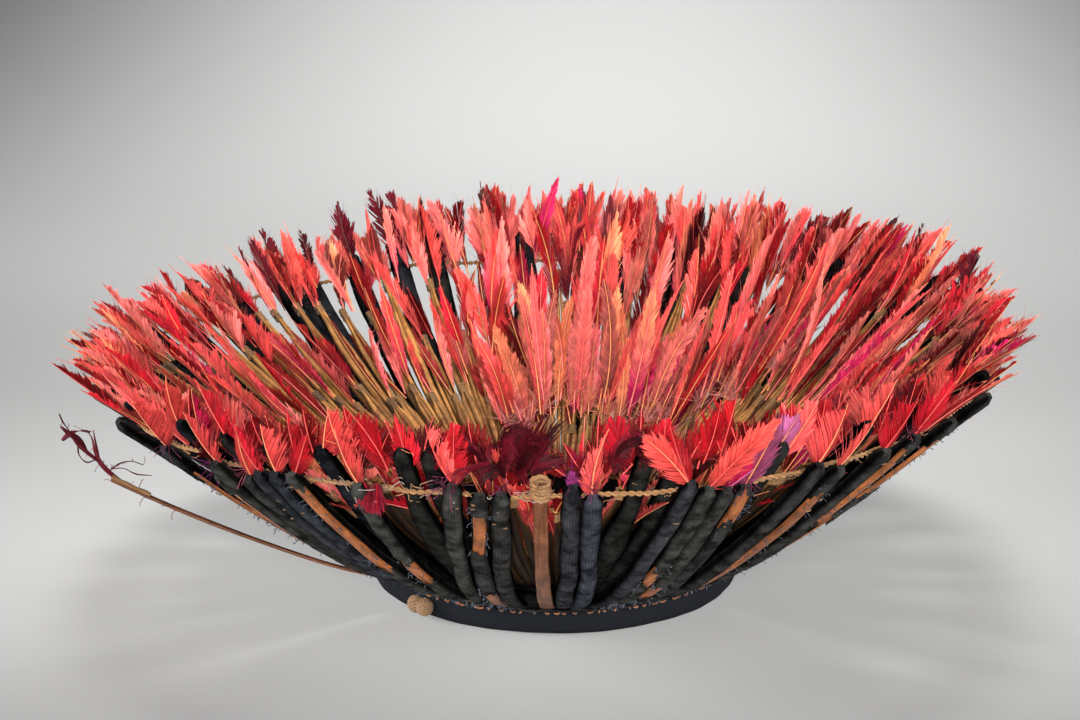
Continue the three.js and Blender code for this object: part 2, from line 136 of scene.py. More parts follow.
def unit(vectors):
    return vectors / np.linalg.norm(vectors, axis=-1, keepdims=True)


def ease(x):
    x = np.clip(x, 0, 1)
    return x * x * (3 - 2 * x)


def boxy(wave, power):
    """A sine or a cosine that a power under 1 makes squarer."""
    return np.sign(wave) * np.abs(wave) ** power


def travelled(path):
    """How far along the path each of its points lies."""
    return np.concatenate([[0], np.cumsum(np.linalg.norm(np.diff(path, axis=0), axis=1))])


def dyed(colour, low, high):
    """A colour made darker or lighter by a random share between two."""
    return linear(colour) * rng.uniform(low, high)


def grown(pair, share):
    """A size that goes from its foot value to its top value where the rows part."""
    return pair[0] + (pair[1] - pair[0]) * ease(np.asarray(share) / ROWS_PARTED)


def wall(azimuth, share, offset=0.0):
    """A place on the bowl's wall and its directions: along the wall, sideways, and out."""
    given = (np.asarray(v, float) for v in (azimuth, share, offset))
    azimuth, share, offset = np.broadcast_arrays(*given)
    turn = np.radians(azimuth)
    bend = np.broadcast_to(WALL_BEND, (*turn.shape, 2))
    tip = np.broadcast_to(WALL_TIP, (*turn.shape, 2))
    for middle, bend_change, tip_change in SIDES:
        near = np.clip(np.cos(turn - math.radians(middle)), 0, None)[..., None] ** 2
        bend = bend + near * bend_change
        tip = tip + near * tip_change
    inside = np.minimum(share, 1)[..., None]
    past = np.maximum(share - 1, 0)[..., None] * WALL_LENGTH
    rest = 1 - inside
    place = WALL_BASE * rest**2 + bend * 2 * rest * inside + tip * inside**2
    slope = unit((bend - WALL_BASE) * rest + (tip - bend) * inside)
    inward = np.stack([-slope[..., 1], slope[..., 0]], -1)
    curl = FRONT_CURL * np.clip(np.cos(turn), 0, None)[..., None] ** 3
    place = place + slope * past + inward * curl * past**2 / 2
    slope = unit(slope + inward * curl * past)
    radius = place[..., 0] + slope[..., 1] * offset
    height = place[..., 1] - slope[..., 0] * offset
    sin, cos, flat = np.sin(turn), np.cos(turn), np.zeros_like(turn)
    point = np.stack([radius * sin, -radius * cos, height], -1)
    along = np.stack([slope[..., 0] * sin, -slope[..., 0] * cos, slope[..., 1]], -1)
    side = np.stack([cos, sin, flat], -1)
    out = np.stack([slope[..., 1] * sin, -slope[..., 1] * cos, -slope[..., 0]], -1)
    return point, along, side, out


def cane_offset(share, tier):
    """How far the middle of a cane tier lies from the wall; tier 0 is next to the inner ribs."""
    against = grown(ROW_OFFSET, share) + grown(RIB_THICK, share) / 2
    strip = STRIP_THICK * (1 - ease((np.asarray(share) - 0.1) / ROWS_PARTED))
    return -(against + strip + LAYER_GAP + CANE_THICK / 2 + tier * (CANE_THICK + LAYER_GAP))


class Piece:
    """One object of the headdress, gathered from many small surfaces."""

    def __init__(self, name):
        self.name = name
        self.count = 0
        self.points, self.tints, self.faces, self.finishes = [], [], [], []

    def add(self, points, faces, finish, tint, lay=None):
        """points in mm, faces as rows of corners, tint one linear colour or one for each point,
        and lay the cloth or grain coordinates in mm of each face's corners, to which a vane adds
        how far out on it the corner is, from 0 to 1."""
        points = np.asarray(points, float).reshape(-1, 3)
        faces = np.asarray(faces)
        lay = np.zeros((*faces.shape, 3)) if lay is None else np.asarray(lay, float)
        if lay.shape[-1] == 2:
            lay = np.concatenate([lay, np.zeros((*lay.shape[:-1], 1))], -1)
        self.points.append(points)
        self.tints.append(np.broadcast_to(np.reshape(tint, (-1, 3)), points.shape))
        self.faces.append((faces + self.count, lay, self.finish_index(finish)))
        self.count += len(points)

    def finish_index(self, finish):
        if finish not in self.finishes:
            self.finishes.append(finish)
        return self.finishes.index(finish)

    def make(self, slot, *nodes):
        """Builds the mesh, hides the frame's nodes that it stands for, and returns the object."""
        points = (np.concatenate(self.points) + BAND_CENTRE) / 1000
        corners = np.concatenate([faces.ravel() for faces, _, _ in self.faces])
        sizes = np.concatenate([np.full(len(faces), faces.shape[1]) for faces, _, _ in self.faces])
        index = np.concatenate([np.full(len(faces), finish) for faces, _, finish in self.faces])
        lay = np.concatenate([lay.reshape(-1, 3) for _, lay, _ in self.faces])
        mesh = bpy.data.meshes.new(self.name)
        mesh.vertices.add(len(points))
        mesh.vertices.foreach_set("co", points.ravel())
        mesh.loops.add(len(corners))
        mesh.loops.foreach_set("vertex_index", corners)
        mesh.polygons.add(len(sizes))
        mesh.polygons.foreach_set("loop_start", np.concatenate([[0], np.cumsum(sizes)[:-1]]))
        mesh.polygons.foreach_set("material_index", index)
        mesh.polygons.foreach_set("use_smooth", np.ones(len(sizes), bool))
        mesh.update(calc_edges=True)
        tint = mesh.attributes.new("tint", "FLOAT_COLOR", "POINT")
        colours = np.concatenate([np.concatenate(self.tints), np.ones((len(points), 1))], 1)
        tint.data.foreach_set("color", colours.ravel())
        laid = mesh.attributes.new("lay", "FLOAT_VECTOR", "CORNER")
        laid.data.foreach_set("vector", lay.ravel())
        for finish in self.finishes:
            mesh.materials.append(finish)
        thing = bpy.data.objects.new(self.name, mesh)
        bpy.context.scene.collection.objects.link(thing)
        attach(thing, "root")
        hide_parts(*nodes)
        return thing


def grid_faces(rows, columns, round_columns=True):
    """Faces between the rows and columns of a grid of points, turned to face outwards."""
    steps = columns if round_columns else columns - 1
    row, column = np.meshgrid(np.arange(rows - 1), np.arange(steps), indexing="ij")
    after = (column + 1) % columns
    low, high = row * columns, (row + 1) * columns
    faces = np.stack([low + column, high + column, high + after, low + after], -1)
    return faces.reshape(-1, 4), row.ravel(), column.ravel()


def tube(piece, path, across, out, wide, thick, finish, tint, sides=8, square=1.0, swell=None,
         keep=None, rounded=0.0):
    """A closed bar along a path with its width across and its thickness out. square under 1
    makes the section boxy, swell moves the skin out in mm, keep says which faces stay, and
    rounded is how much of each end is rounded, in mm."""
    path, across, out = (np.asarray(v, float) for v in (path, across, out))
    rows = len(path)
    wide, thick = (np.broadcast_to(np.asarray(v, float), rows) for v in (wide, thick))
    turn = np.arange(sides) * 2 * math.pi / sides - math.pi / 2
    x, y = boxy(np.cos(turn), square), boxy(np.sin(turn), square)
    gone = travelled(path)
    round_in = np.ones(rows)
    if rounded:
        ends = np.minimum(gone, gone[-1] - gone) / rounded
        round_in = np.sqrt(np.clip(1 - (1 - np.clip(ends, 0.12, 1)) ** 2, 0, 1))
    reach_x = (wide * round_in)[:, None] * x / 2
    reach_y = (thick * round_in)[:, None] * y / 2
    if swell is not None:
        reach_x = reach_x + swell * np.cos(turn)
        reach_y = reach_y + swell * np.sin(turn)
    skin = path[:, None] + reach_x[..., None] * across[:, None] + reach_y[..., None] * out[:, None]
    faces, row, column = grid_faces(rows, sides)
    girth = (wide.mean() + thick.mean()) * 1.5 / sides
    u = np.stack([column, column, column + 1, column + 1], -1) * girth
    v = np.stack([gone[row], gone[row + 1], gone[row + 1], gone[row]], -1)
    lay = np.stack([u, v], -1)
    if keep is not None:
        kept = keep[row, column]
        faces, lay = faces[kept], lay[kept]
    colour = np.asarray(tint, float)
    if colour.ndim == 2:
        colour = colour[:, None]
    piece.add(skin, faces, finish, np.broadcast_to(colour, skin.shape), lay)
    ring = np.arange(sides)
    for end, order in ((0, ring), (rows - 1, ring[::-1])):
        cap = np.vstack([skin[end], path[end]])
        fan = np.stack([order, np.roll(order, -1), np.full(sides, sides)], -1)
        piece.add(cap, fan, finish, colour.reshape(-1, 3)[0 if end == 0 else -1])


def follow(path, hint):
    """The across and out directions of a path, from a hint of which way is out."""
    along = unit(np.gradient(path, axis=0))
    across = unit(np.cross(along, np.broadcast_to(hint, path.shape)))
    return across, np.cross(across, along)


def thread(piece, path, radius, finish, tint, sides=5):
    """A round thread along a path."""
    path = np.asarray(path, float)
    never_along = (0.31, -0.52, 0.79)
    across, out = follow(path, never_along)
    tube(piece, path, across, out, 2 * radius, 2 * radius, finish, tint, sides=sides)


def curve_through(points, steps):
    """A smooth path through a few points."""
    points = np.asarray(points, float)
    knots = travelled(points)
    slopes = np.gradient(points, knots, axis=0)
    at = np.linspace(0, knots[-1], steps)
    low = np.clip(np.searchsorted(knots, at, side="right") - 1, 0, len(knots) - 2)
    span = (knots[low + 1] - knots[low])[:, None]
    t = ((at - knots[low]) / span[:, 0])[:, None]
    return (
        points[low] * (2 * t**3 - 3 * t**2 + 1) + slopes[low] * span * (t**3 - 2 * t**2 + t)
        + points[low + 1] * (3 * t**2 - 2 * t**3) + slopes[low + 1] * span * (t**3 - t**2)
    )


def pick(choices):
    """One of the choices, drawn by their weights."""
    weights = np.array(list(choices.values()), float)
    return list(choices)[rng.choice(len(choices), p=weights / weights.sum())]


def angle_from(azimuth, centre):
    """The degrees between two azimuths, 0 to 180."""
    return abs((azimuth - centre + 180) % 360 - 180)


def put(tree, kind, inputs=None, **settings):
    """Adds a node with its settings. An input is a value, a socket to link from, or a node to
    link from by its first output."""
    made = tree.nodes.new("ShaderNode" + kind)
    for name, value in settings.items():
        setattr(made, name, value)
    for name, value in (inputs or {}).items():
        if isinstance(value, bpy.types.Node):
            value = value.outputs[0]
        if isinstance(value, bpy.types.NodeSocket):
            tree.links.new(value, made.inputs[name])
        else:
            made.inputs[name].default_value = value
    return made


def material_of(name, look, *sizes):
    """A material from a look. The look is given the lay and the place, both in mm, and answers
    with what makes the tint lighter or darker, the relief as its height, strength and depth in
    metres, and the other settings of the surface."""
    material = bpy.data.materials.new(name)
    material.use_nodes = True
    tree = material.node_tree
    tree.nodes.clear()
    tint = put(tree, "Attribute", attribute_name="tint")
    lay = put(tree, "Attribute", attribute_name="lay").outputs["Vector"]
    place = put(tree, "TexCoord").outputs["Object"]
    place = put(tree, "VectorMath", {0: place, 1: (1000, 1000, 1000)}, operation="MULTIPLY")
    level, relief, surface = look(tree, lay, place, *sizes)
    surface["Base Color"] = put(tree, "VectorMath", {0: tint, "Scale": level}, operation="SCALE")
    if relief:
        surface["Normal"] = put(tree, "Bump", dict(zip(("Height", "Strength", "Distance"), relief)))
    put(tree, "OutputMaterial", {"Surface": put(tree, "BsdfPrincipled", surface)})
    return material


def felted_wool(tree, lay, place):
    """Wool cloth, plain-woven and felted by wear: matt and soft-edged, with paler rubbed fuzz."""
    # Threads are 0.5 mm apart, drawn at 0.9 mm so that they show.
    warp, weft = (
        put(tree, "TexWave", {
            "Vector": lay, "Scale": 0.35, "Distortion": 1.2, "Detail": 1.0, "Detail Scale": 0.6,
        }, bands_direction=way).outputs["Fac"]
        for way in "XY"
    )
    weave = put(tree, "Math", {0: warp, 1: weft}, operation="MULTIPLY")
    rubbed = put(tree, "TexNoise", {"Vector": place, "Scale": 0.11, "Detail": 5.0, "Roughness": 0.65})
    worn = put(tree, "MapRange", {
        "Value": rubbed, "From Min": 0.38, "From Max": 0.7, "To Min": 0.4, "To Max": 2.2})
    lit = put(tree, "MapRange", {"Value": weave, "From Max": 0.8, "To Min": 0.75, "To Max": 1.4})
    level = put(tree, "Math", {0: worn, 1: lit}, operation="MULTIPLY")
    fuzz = put(tree, "TexNoise", {"Vector": place, "Scale": 0.9, "Detail": 3.0})
    height = put(tree, "Math", {0: weave, 1: fuzz}, operation="ADD")
    return level, (height, 0.5, 0.0006), {"Roughness": 0.95, "Specular IOR Level": 0.0}


def indigo_twill(tree, lay, place):
    """Cotton twill, woven on the diagonal: fine slanting ribs with paler thread between them."""
    # The twill's ribs are 0.8 mm apart, drawn at 0.9 mm so that they show.
    slant = put(
        tree, "VectorRotate", {"Vector": lay, "Angle": math.radians(38)}, rotation_type="Z_AXIS")
    ribs = put(tree, "TexWave", {
        "Vector": slant, "Scale": 0.34, "Distortion": 0.5, "Detail": 1.0,
    }, bands_direction="X").outputs["Fac"]
    speck = put(tree, "TexNoise", {"Vector": place, "Scale": 1.1, "Detail": 2.0})
    both = put(tree, "Math", {0: ribs, 1: speck}, operation="MULTIPLY")
    level = put(tree, "MapRange", {"Value": both, "From Max": 0.6, "To Min": 0.7, "To Max": 1.5})
    return level, (ribs, 0.5, 0.0004), {"Roughness": 0.8, "Specular IOR Level": 0.02}


def split_stem(tree, lay, place, fibre_mm, roughness):
    """Wood or cane split along its grain: long fibres, darker stains, a low worn gloss."""
    stretched = put(tree, "VectorMath", {0: lay, 1: (1 / fibre_mm, 0.035, 1.0)}, operation="MULTIPLY")
    fibre = put(tree, "TexNoise", {"Vector": stretched, "Scale": 1.0, "Detail": 4.0, "Roughness": 0.6})
    stain = put(tree, "TexNoise", {"Vector": place, "Scale": 0.09, "Detail": 4.0, "Roughness": 0.7})
    both = put(tree, "Math", {0: fibre, 1: stain}, operation="MULTIPLY")
    level = put(tree, "MapRange", {
        "Value": both, "From Min": 0.1, "From Max": 0.42, "To Min": 0.2, "To Max": 1.6})
    return level, (fibre, 0.6, 0.0005), {"Roughness": roughness, "Specular IOR Level": 0.2}


def spun_fibre(tree, lay, place, roughness):
    """Straw, yarn or sewing thread, spun: many fine fibres, so matt with a soft edge."""
    strand = put(tree, "TexNoise", {"Vector": place, "Scale": 1.4, "Detail": 3.0, "Roughness": 0.7})
    level = put(tree, "MapRange", {
        "Value": strand, "From Min": 0.3, "From Max": 0.7, "To Min": 0.55, "To Max": 1.35})
    return level, (strand, 0.5, 0.0004), {"Roughness": roughness, "Sheen Weight": 0.1}


def dyed_barbs(tree, lay, place):
    """Feather barbs, dyed: fine lines along the barbs, silky, with dye taken up unevenly."""
    # Barbs are 0.3 mm apart, drawn at 0.55 mm so that they show.
    barbs = put(tree, "TexWave", {
        "Vector": lay, "Scale": 0.57, "Distortion": 0.6, "Detail": 1.0,
    }, bands_direction="X").outputs["Fac"]
    drawn = put(tree, "VectorMath", {0: lay, 1: (0.9, 0.05, 0.0)}, operation="MULTIPLY")
    streaks = put(tree, "TexNoise", {"Vector": drawn, "Scale": 1.0, "Detail": 3.0, "Roughness": 0.6})
    patch = put(tree, "TexNoise", {"Vector": place, "Scale": 0.12, "Detail": 3.0, "Roughness": 0.6})
    fine = put(tree, "MapRange", {"Value": barbs, "To Min": 0.8, "To Max": 1.12})
    long, wide = (
        put(tree, "MapRange", {
            "Value": source, "From Min": 0.3, "From Max": 0.7, "To Min": dark, "To Max": light})
        for source, dark, light in ((streaks, 0.55, 1.38), (patch, 0.75, 1.2))
    )
    both = put(tree, "Math", {0: fine, 1: long}, operation="MULTIPLY")
    level = put(tree, "Math", {0: both, 1: wide}, operation="MULTIPLY")
    # Barbs part from each other towards their ends, singly and in clumps of about 2 mm.
    how_far = put(tree, "SeparateXYZ", {"Vector": lay}).outputs["Z"]
    clumped = put(tree, "VectorMath", {0: lay, 1: (0.75, 0.03, 0.0)}, operation="MULTIPLY")
    clumps = put(tree, "TexNoise", {"Vector": clumped, "Scale": 1.0, "Detail": 4.0, "Roughness": 0.75})
    gap = put(tree, "MapRange", {
        "Value": how_far, "From Min": 0.3, "From Max": 1.0, "To Min": 0.22, "To Max": 0.57})
    parted = put(tree, "Math", {0: clumps, 1: gap}, operation="GREATER_THAN")
    height = put(tree, "Math", {0: barbs, 1: streaks}, operation="ADD")
    surface = {"Roughness": 0.6, "Specular IOR Level": 0.1, "Alpha": parted}
    return level, (height, 0.5, 0.0004), surface


def quill_horn(tree, lay, place):
    """Feather shaft, horn that has taken the dye: smooth, pale and slightly glossy."""
    patch = put(tree, "TexNoise", {"Vector": place, "Scale": 0.2, "Detail": 2.0})
    level = put(tree, "MapRange", {"Value": patch, "To Min": 0.7, "To Max": 1.25})
    return level, None, {"Roughness": 0.38, "IOR": 1.54}


WOOL = material_of("felted_wool", felted_wool)
TWILL = material_of("indigo_twill", indigo_twill)
SLAT = material_of("split_slat_wood", split_stem, 1.1, 0.5)
CANE = material_of("split_cane", split_stem, 0.7, 0.55)
STRAW_FIBRE = material_of("twisted_straw", spun_fibre, 0.8)
SEWING = material_of("sewing_thread", spun_fibre, 0.85)
BARBS = material_of("dyed_barbs", dyed_barbs)
HORN = material_of("quill_horn", quill_horn)

# Feather forms. tufts is the count of tufts on a side, slant the barbs' angle to the shaft at the
# foot and the tip in degrees, splits how many times a side parts, point the width at a tuft's end
# against that at its foot, ragged how uneven the tufts' ends are, drop the share of tufts lost,
# bare the shaft's share without barbs at its foot and tip, hairs the count of loose barbs on a
# side, and shape the powers of the vane's outline. As shares of a tuft's length, curve bends it to
# the tip, stray and apart are how far its edges and the whole of it lean, lift is how far it
# leaves the vane, and camber is the vane's cup.
BLADE = dict(
    tufts=16, slant=(26, 10), curve=0.12, stray=0.01, apart=0.0, splits=2, point=1.0, ragged=0.05,
    lift=0.0, drop=0.0, camber=0.3, bare=(0.04, 0.02), hairs=8, shape=(0.75, 0.7))
SPIKE = dict(
    tufts=14, slant=(16, 7), curve=0.06, stray=0.02, apart=0.012, splits=2, point=0.9, ragged=0.1,
    lift=0.01, drop=0.03, camber=0.35, bare=(0.04, 0.12), hairs=7, shape=(0.6, 1.0))
BRUSH = dict(
    tufts=18, slant=(28, 14), curve=0.1, stray=0.03, apart=0.02, splits=3, point=0.8, ragged=0.1,
    lift=0.02, drop=0.02, camber=0.2, bare=(0.06, 0.0), hairs=9, shape=(0.8, 0.4))
BROAD = dict(
    tufts=24, slant=(42, 18), curve=0.2, stray=0.012, apart=0.004, splits=3, point=1.0, ragged=0.04,
    lift=0.01, drop=0.0, camber=0.16, bare=(0.04, 0.01), hairs=11, shape=(0.5, 0.5))
LEAF = dict(
    tufts=24, slant=(34, 10), curve=0.2, stray=0.015, apart=0.008, splits=3, point=0.95, ragged=0.04,
    lift=0.02, drop=0.01, camber=0.5, bare=(0.04, 0.02), hairs=13, shape=(0.55, 1.15))
WISPY = dict(
    tufts=40, slant=(44, 20), curve=0.3, stray=0.02, apart=0.05, splits=3, point=0.5, ragged=0.2,
    lift=0.22, drop=0.1, camber=0.3, bare=(0.03, 0.0), hairs=18, shape=(0.35, 0.5))
# Places along a tuft, along a loose barb as shares of a tuft, and the count along a shaft.
TUFT_STATIONS = np.array([0, 0.45, 0.8, 1.0])
HAIR_STATIONS = np.array([0.55, 0.85, 1.15])
SHAFT_STATIONS = 8
# No feather rises above this height over the band's foot, in mm.
PLUME_TOP = 176.0


def feather(piece, root, heading, face, length, width, colour, form, bend=0.0, sway=0.0,
            shaft=SHAFT_PEACH, second=None, shade_and_tone=1.0):
    """A feather from its root: heading is the way the shaft leaves, face the side that its vane
    turns to, bend curls it to its face and sway turns it sideways, both in radians. The second
    dye is strongest at the foot, and shade_and_tone darkens or lightens both: painted shade for
    feathers that lie under or behind others, and otherwise a random tone."""
    heading = unit(np.asarray(heading, float))
    if heading[2] > 0:
        length = min(length, (PLUME_TOP - rng.uniform(0, 12) - root[2]) / heading[2])
    side = unit(np.cross(heading, face))
    face = np.cross(side, heading)
    s = np.linspace(0, 1, SHAFT_STATIONS)
    way = unit(
        heading * np.cos(bend * s)[:, None] + face * np.sin(bend * s)[:, None]
        + side * (sway * s)[:, None]
    )
    steps = np.cumsum((way[1:] + way[:-1]) / 2, axis=0) * length / (SHAFT_STATIONS - 1)
    path = root + np.vstack([np.zeros(3), steps])
    across = unit(np.cross(way, face))
    normal = np.cross(across, way)
    thick = np.linspace(1, 0.35, SHAFT_STATIONS)
    tube(piece, path + normal * 0.15, across, normal, thick, thick, HORN, dyed(shaft, 0.8, 1.15),
         sides=4)
    # Painted shade: a feather under others is darkened, its green and blue more than its red; above 1
    # the feather is only made lighter.
    shade_and_tone_rgb = shade_and_tone * np.array([1, min(shade_and_tone, 1) ** 0.8, min(shade_and_tone, 1) ** 0.8])
    tint = linear(colour) * rng.uniform(0.78, 1.18) * rng.normal(1, 0.05, 3) * shade_and_tone_rgb
    other = linear(second or colour) * (0.9 if second else 0.6) * shade_and_tone_rgb
    bath = rng.uniform(0, 0.9)
    for sign in (-1, 1):
        vane(piece, (path, way, across, normal), s, sign, length, width, tint, other, bath, form)


def outline(form, x):
    """The vane's half-width at shares of its length, 1 at its widest."""
    foot, tip = form["shape"]
    peak = foot / (foot + tip)
    x = np.clip(x, 0.01, 0.995)
    return x**foot * (1 - x) ** tip / (peak**foot * (1 - peak) ** tip)


def barb_lines(frames, s, sign, length, width, form, x, lean, lift, stretch, stations):
    """The lines along which barbs lie, which end on the vane's outline at shares x of its length:
    x has any shape, and each line has a place at each station."""
    low, high = form["bare"][0], 1 - form["bare"][1]
    slant = np.radians(form["slant"][0] + (form["slant"][1] - form["slant"][0]) * np.clip(x, 0, 1))
    half = outline(form, x) * width / 2 * stretch
    reach = half / np.sin(slant)
    at = low + x * (high - low) + lean * reach / length
    foot = np.clip(at - half / np.tan(slant) / length, low * 0.3, 1)
    root, way, across, normal = (
        np.stack([np.interp(foot, s, v[:, k]) for k in range(3)], -1)[..., None, :] for v in frames
    )
    end, end_way, end_across = (
        np.stack([np.interp(at, s, v[:, k]) for k in range(3)], -1)[..., None, :] for v in frames[:3]
    )
    reach, half, past = (v[..., None, None] for v in (reach, half, np.maximum(at - 1, 0) * length))
    end = end + end_across * sign * half + end_way * past
    t = stations[:, None]
    bow = normal * (lift[..., None, None] * t**2) - way * (form["curve"] * t * (1 - t))
    return root + (end - root) * t + bow * reach, reach, way


def vane(piece, frames, s, sign, length, width, tint, other, bath, form):
    """One side of a feather: tufts of barbs side by side, parted in places, and loose hairs."""
    tufts = form["tufts"]
    edge = np.linspace(0, 1, tufts + 1)
    x = np.stack([edge[:-1], edge[1:]], 1)
    unsettled = 1 + 2 * edge**4
    lean = rng.normal(0, form["stray"], tufts + 1) * unsettled
    stretch = 1 + rng.normal(0, form["ragged"], tufts + 1) * unsettled
    lean, stretch = (np.stack([v[:-1], v[1:]], 1) for v in (lean, stretch))
    lean = lean + rng.normal(0, form["apart"] + 0.02 * edge[1:] ** 3)[:, None]
    for split in rng.integers(2, tufts, form["splits"]):
        past = np.arange(tufts)[:, None] - split + 0.5
        lean = lean - np.sign(past) * rng.uniform(0.02, 0.12) * np.exp(-np.abs(past) / 3)
    cup = form["camber"] * rng.uniform(0.1, 1.6)
    lift = cup + rng.normal(0, form["lift"], (tufts, 1)) + np.zeros((1, 2))
    line, reach, _ = barb_lines(
        frames, s, sign, length, width, form, x, lean, lift, stretch, TUFT_STATIONS)
    point = np.clip(form["point"] * rng.uniform(0.6, 1.5, tufts), 0, 1)[:, None, None, None]
    middle = line.mean(1, keepdims=True)
    line = middle + (line - middle) * (1 - (1 - point) * TUFT_STATIONS[:, None] ** 3)
    strip = line.transpose(0, 2, 1, 3)
    kept = rng.random(tufts) > form["drop"]
    dye = np.clip(bath * (1 - edge[:-1]) ** 1.5 * 1.6 + rng.normal(0, 0.05, tufts), 0, 1)
    dye = dye[:, None, None, None]
    # Painted shade: each tuft is darker and redder at its root by the shaft and lighter at its end, and
    # the vane is darker towards the feather's foot; each tuft also gets a random tone.
    tuft_root_shade = np.array([[0.6, 0.42, 0.42], [0.93, 0.86, 0.86], [1.08, 1.06, 1.06], [1.2, 1.25, 1.25]])
    vane_foot_shade = 0.62 + 0.5 * ease(edge[1:] / 0.45)
    shade = (rng.normal(1.0, 0.045, tufts) * vane_foot_shade)[:, None, None, None] * tuft_root_shade[None, :, None]
    tints = np.broadcast_to((tint * (1 - dye) + other * dye) * shade, strip.shape)
    u = x * length * 0.4
    v = reach[..., 0, 0, None] * TUFT_STATIONS
    lay = np.stack(np.broadcast_arrays(u[..., None], v, TUFT_STATIONS), -1).transpose(0, 2, 1, 3)
    sheet(piece, strip[kept], tints[kept], lay[kept], sign)
    hairs = form["hairs"]
    line, _, way = barb_lines(
        frames, s, sign, length, width, form, rng.uniform(0.02, 0.95, hairs),
        rng.normal(0.08, 0.14, hairs), cup + rng.normal(0, 0.15, hairs),
        rng.uniform(0.85, 1.15, hairs), HAIR_STATIONS)
    half = np.array([0.22, 0.16, 0.03])[None, :, None] * way
    strip = np.stack([line - half, line + half], 2)
    pale = tint * rng.uniform(0.9, 1.3, hairs)[:, None, None, None] + 0.03
    sheet(piece, strip, np.broadcast_to(pale, strip.shape), np.zeros((hairs, 3, 2, 3)), sign)


def sheet(piece, strips, tints, lay, sign):
    """Adds strips given as a grid of points each, turned to face the vane's front."""
    count, rows, columns = strips.shape[:3]
    if not count:
        return
    if sign > 0:
        strips, tints, lay = strips[:, :, ::-1], tints[:, :, ::-1], lay[:, :, ::-1]
    faces, _, _ = grid_faces(rows, columns, round_columns=False)
    faces = (np.arange(count) * rows * columns)[:, None, None] + faces[None, :, ::-1]
    corner_lay = lay.reshape(count * rows * columns, 3)[faces.reshape(-1, 4)]
    piece.add(strips, faces.reshape(-1, 4), BARBS, tints.reshape(-1, 3), corner_lay)


def fluff(piece, root, heading, size, colour):
    """Down at a feather's foot: soft curved filaments that spread every way."""
    for _ in range(64):
        way = unit(np.asarray(heading) * 0.9 + rng.normal(0, 0.7, 3))
        drift = rng.normal(0, 0.6, 3)
        t = np.linspace(0, 1, 5)[:, None]
        path = root + size * rng.uniform(0.5, 1.1) * (way * t + drift * t**2)
        across, out = follow(path, (0.2, -0.7, 0.6))
        half = across * np.array([0.2, 0.2, 0.18, 0.14, 0.06])[:, None]
        ribbon = np.stack([path - half, path + half], 1)
        faces = np.arange(4)[:, None] * 2 + np.array([0, 1, 3, 2])
        piece.add(ribbon, faces, BARBS, dyed(colour, 0.75, 1.15))


def stitch(piece, middle, way, out, length, radius, tint):
    """A short stitch that rises out of the cloth and goes back in."""
    t = np.linspace(-1, 1, 5)
    path = middle + np.outer(t, way) * length / 2 + np.outer(1 - t**2, out) * radius * 1.2
    thread(piece, path, radius, SEWING, tint)


def frayed(piece, root, way, length, tint, radius):
    """A loose thread end that wanders."""
    steps = rng.normal(0, 0.55, (7, 3))
    path = root + np.cumsum(unit(np.asarray(way) + steps) * length / 7, axis=0)
    thread(piece, curve_through(np.vstack([root, path]), 12), radius, SEWING, tint, sides=4)


def around(count, phase):
    """The ribs of the sides and the back, with the frame's own stray."""
    step = (360 - 2 * FRONT_END) / (count + 1)
    ribs = []
    for k in range(count):
        even = FRONT_END + (k + 1) * step
        foot = even + 0.9 * math.sin(2.1 * k + phase)
        tip = even + 1.5 * math.sin(3.7 * k + phase)
        ribs.append((foot, tip, 1 + phase * 0.04 + 0.03 * math.sin(5.3 * k + phase)))
    return ribs


OUTER_RIBS = list(FRONT_OUTER) + around(20, 0)
INNER_RIBS = list(FRONT_INNER) + around(34, 1)


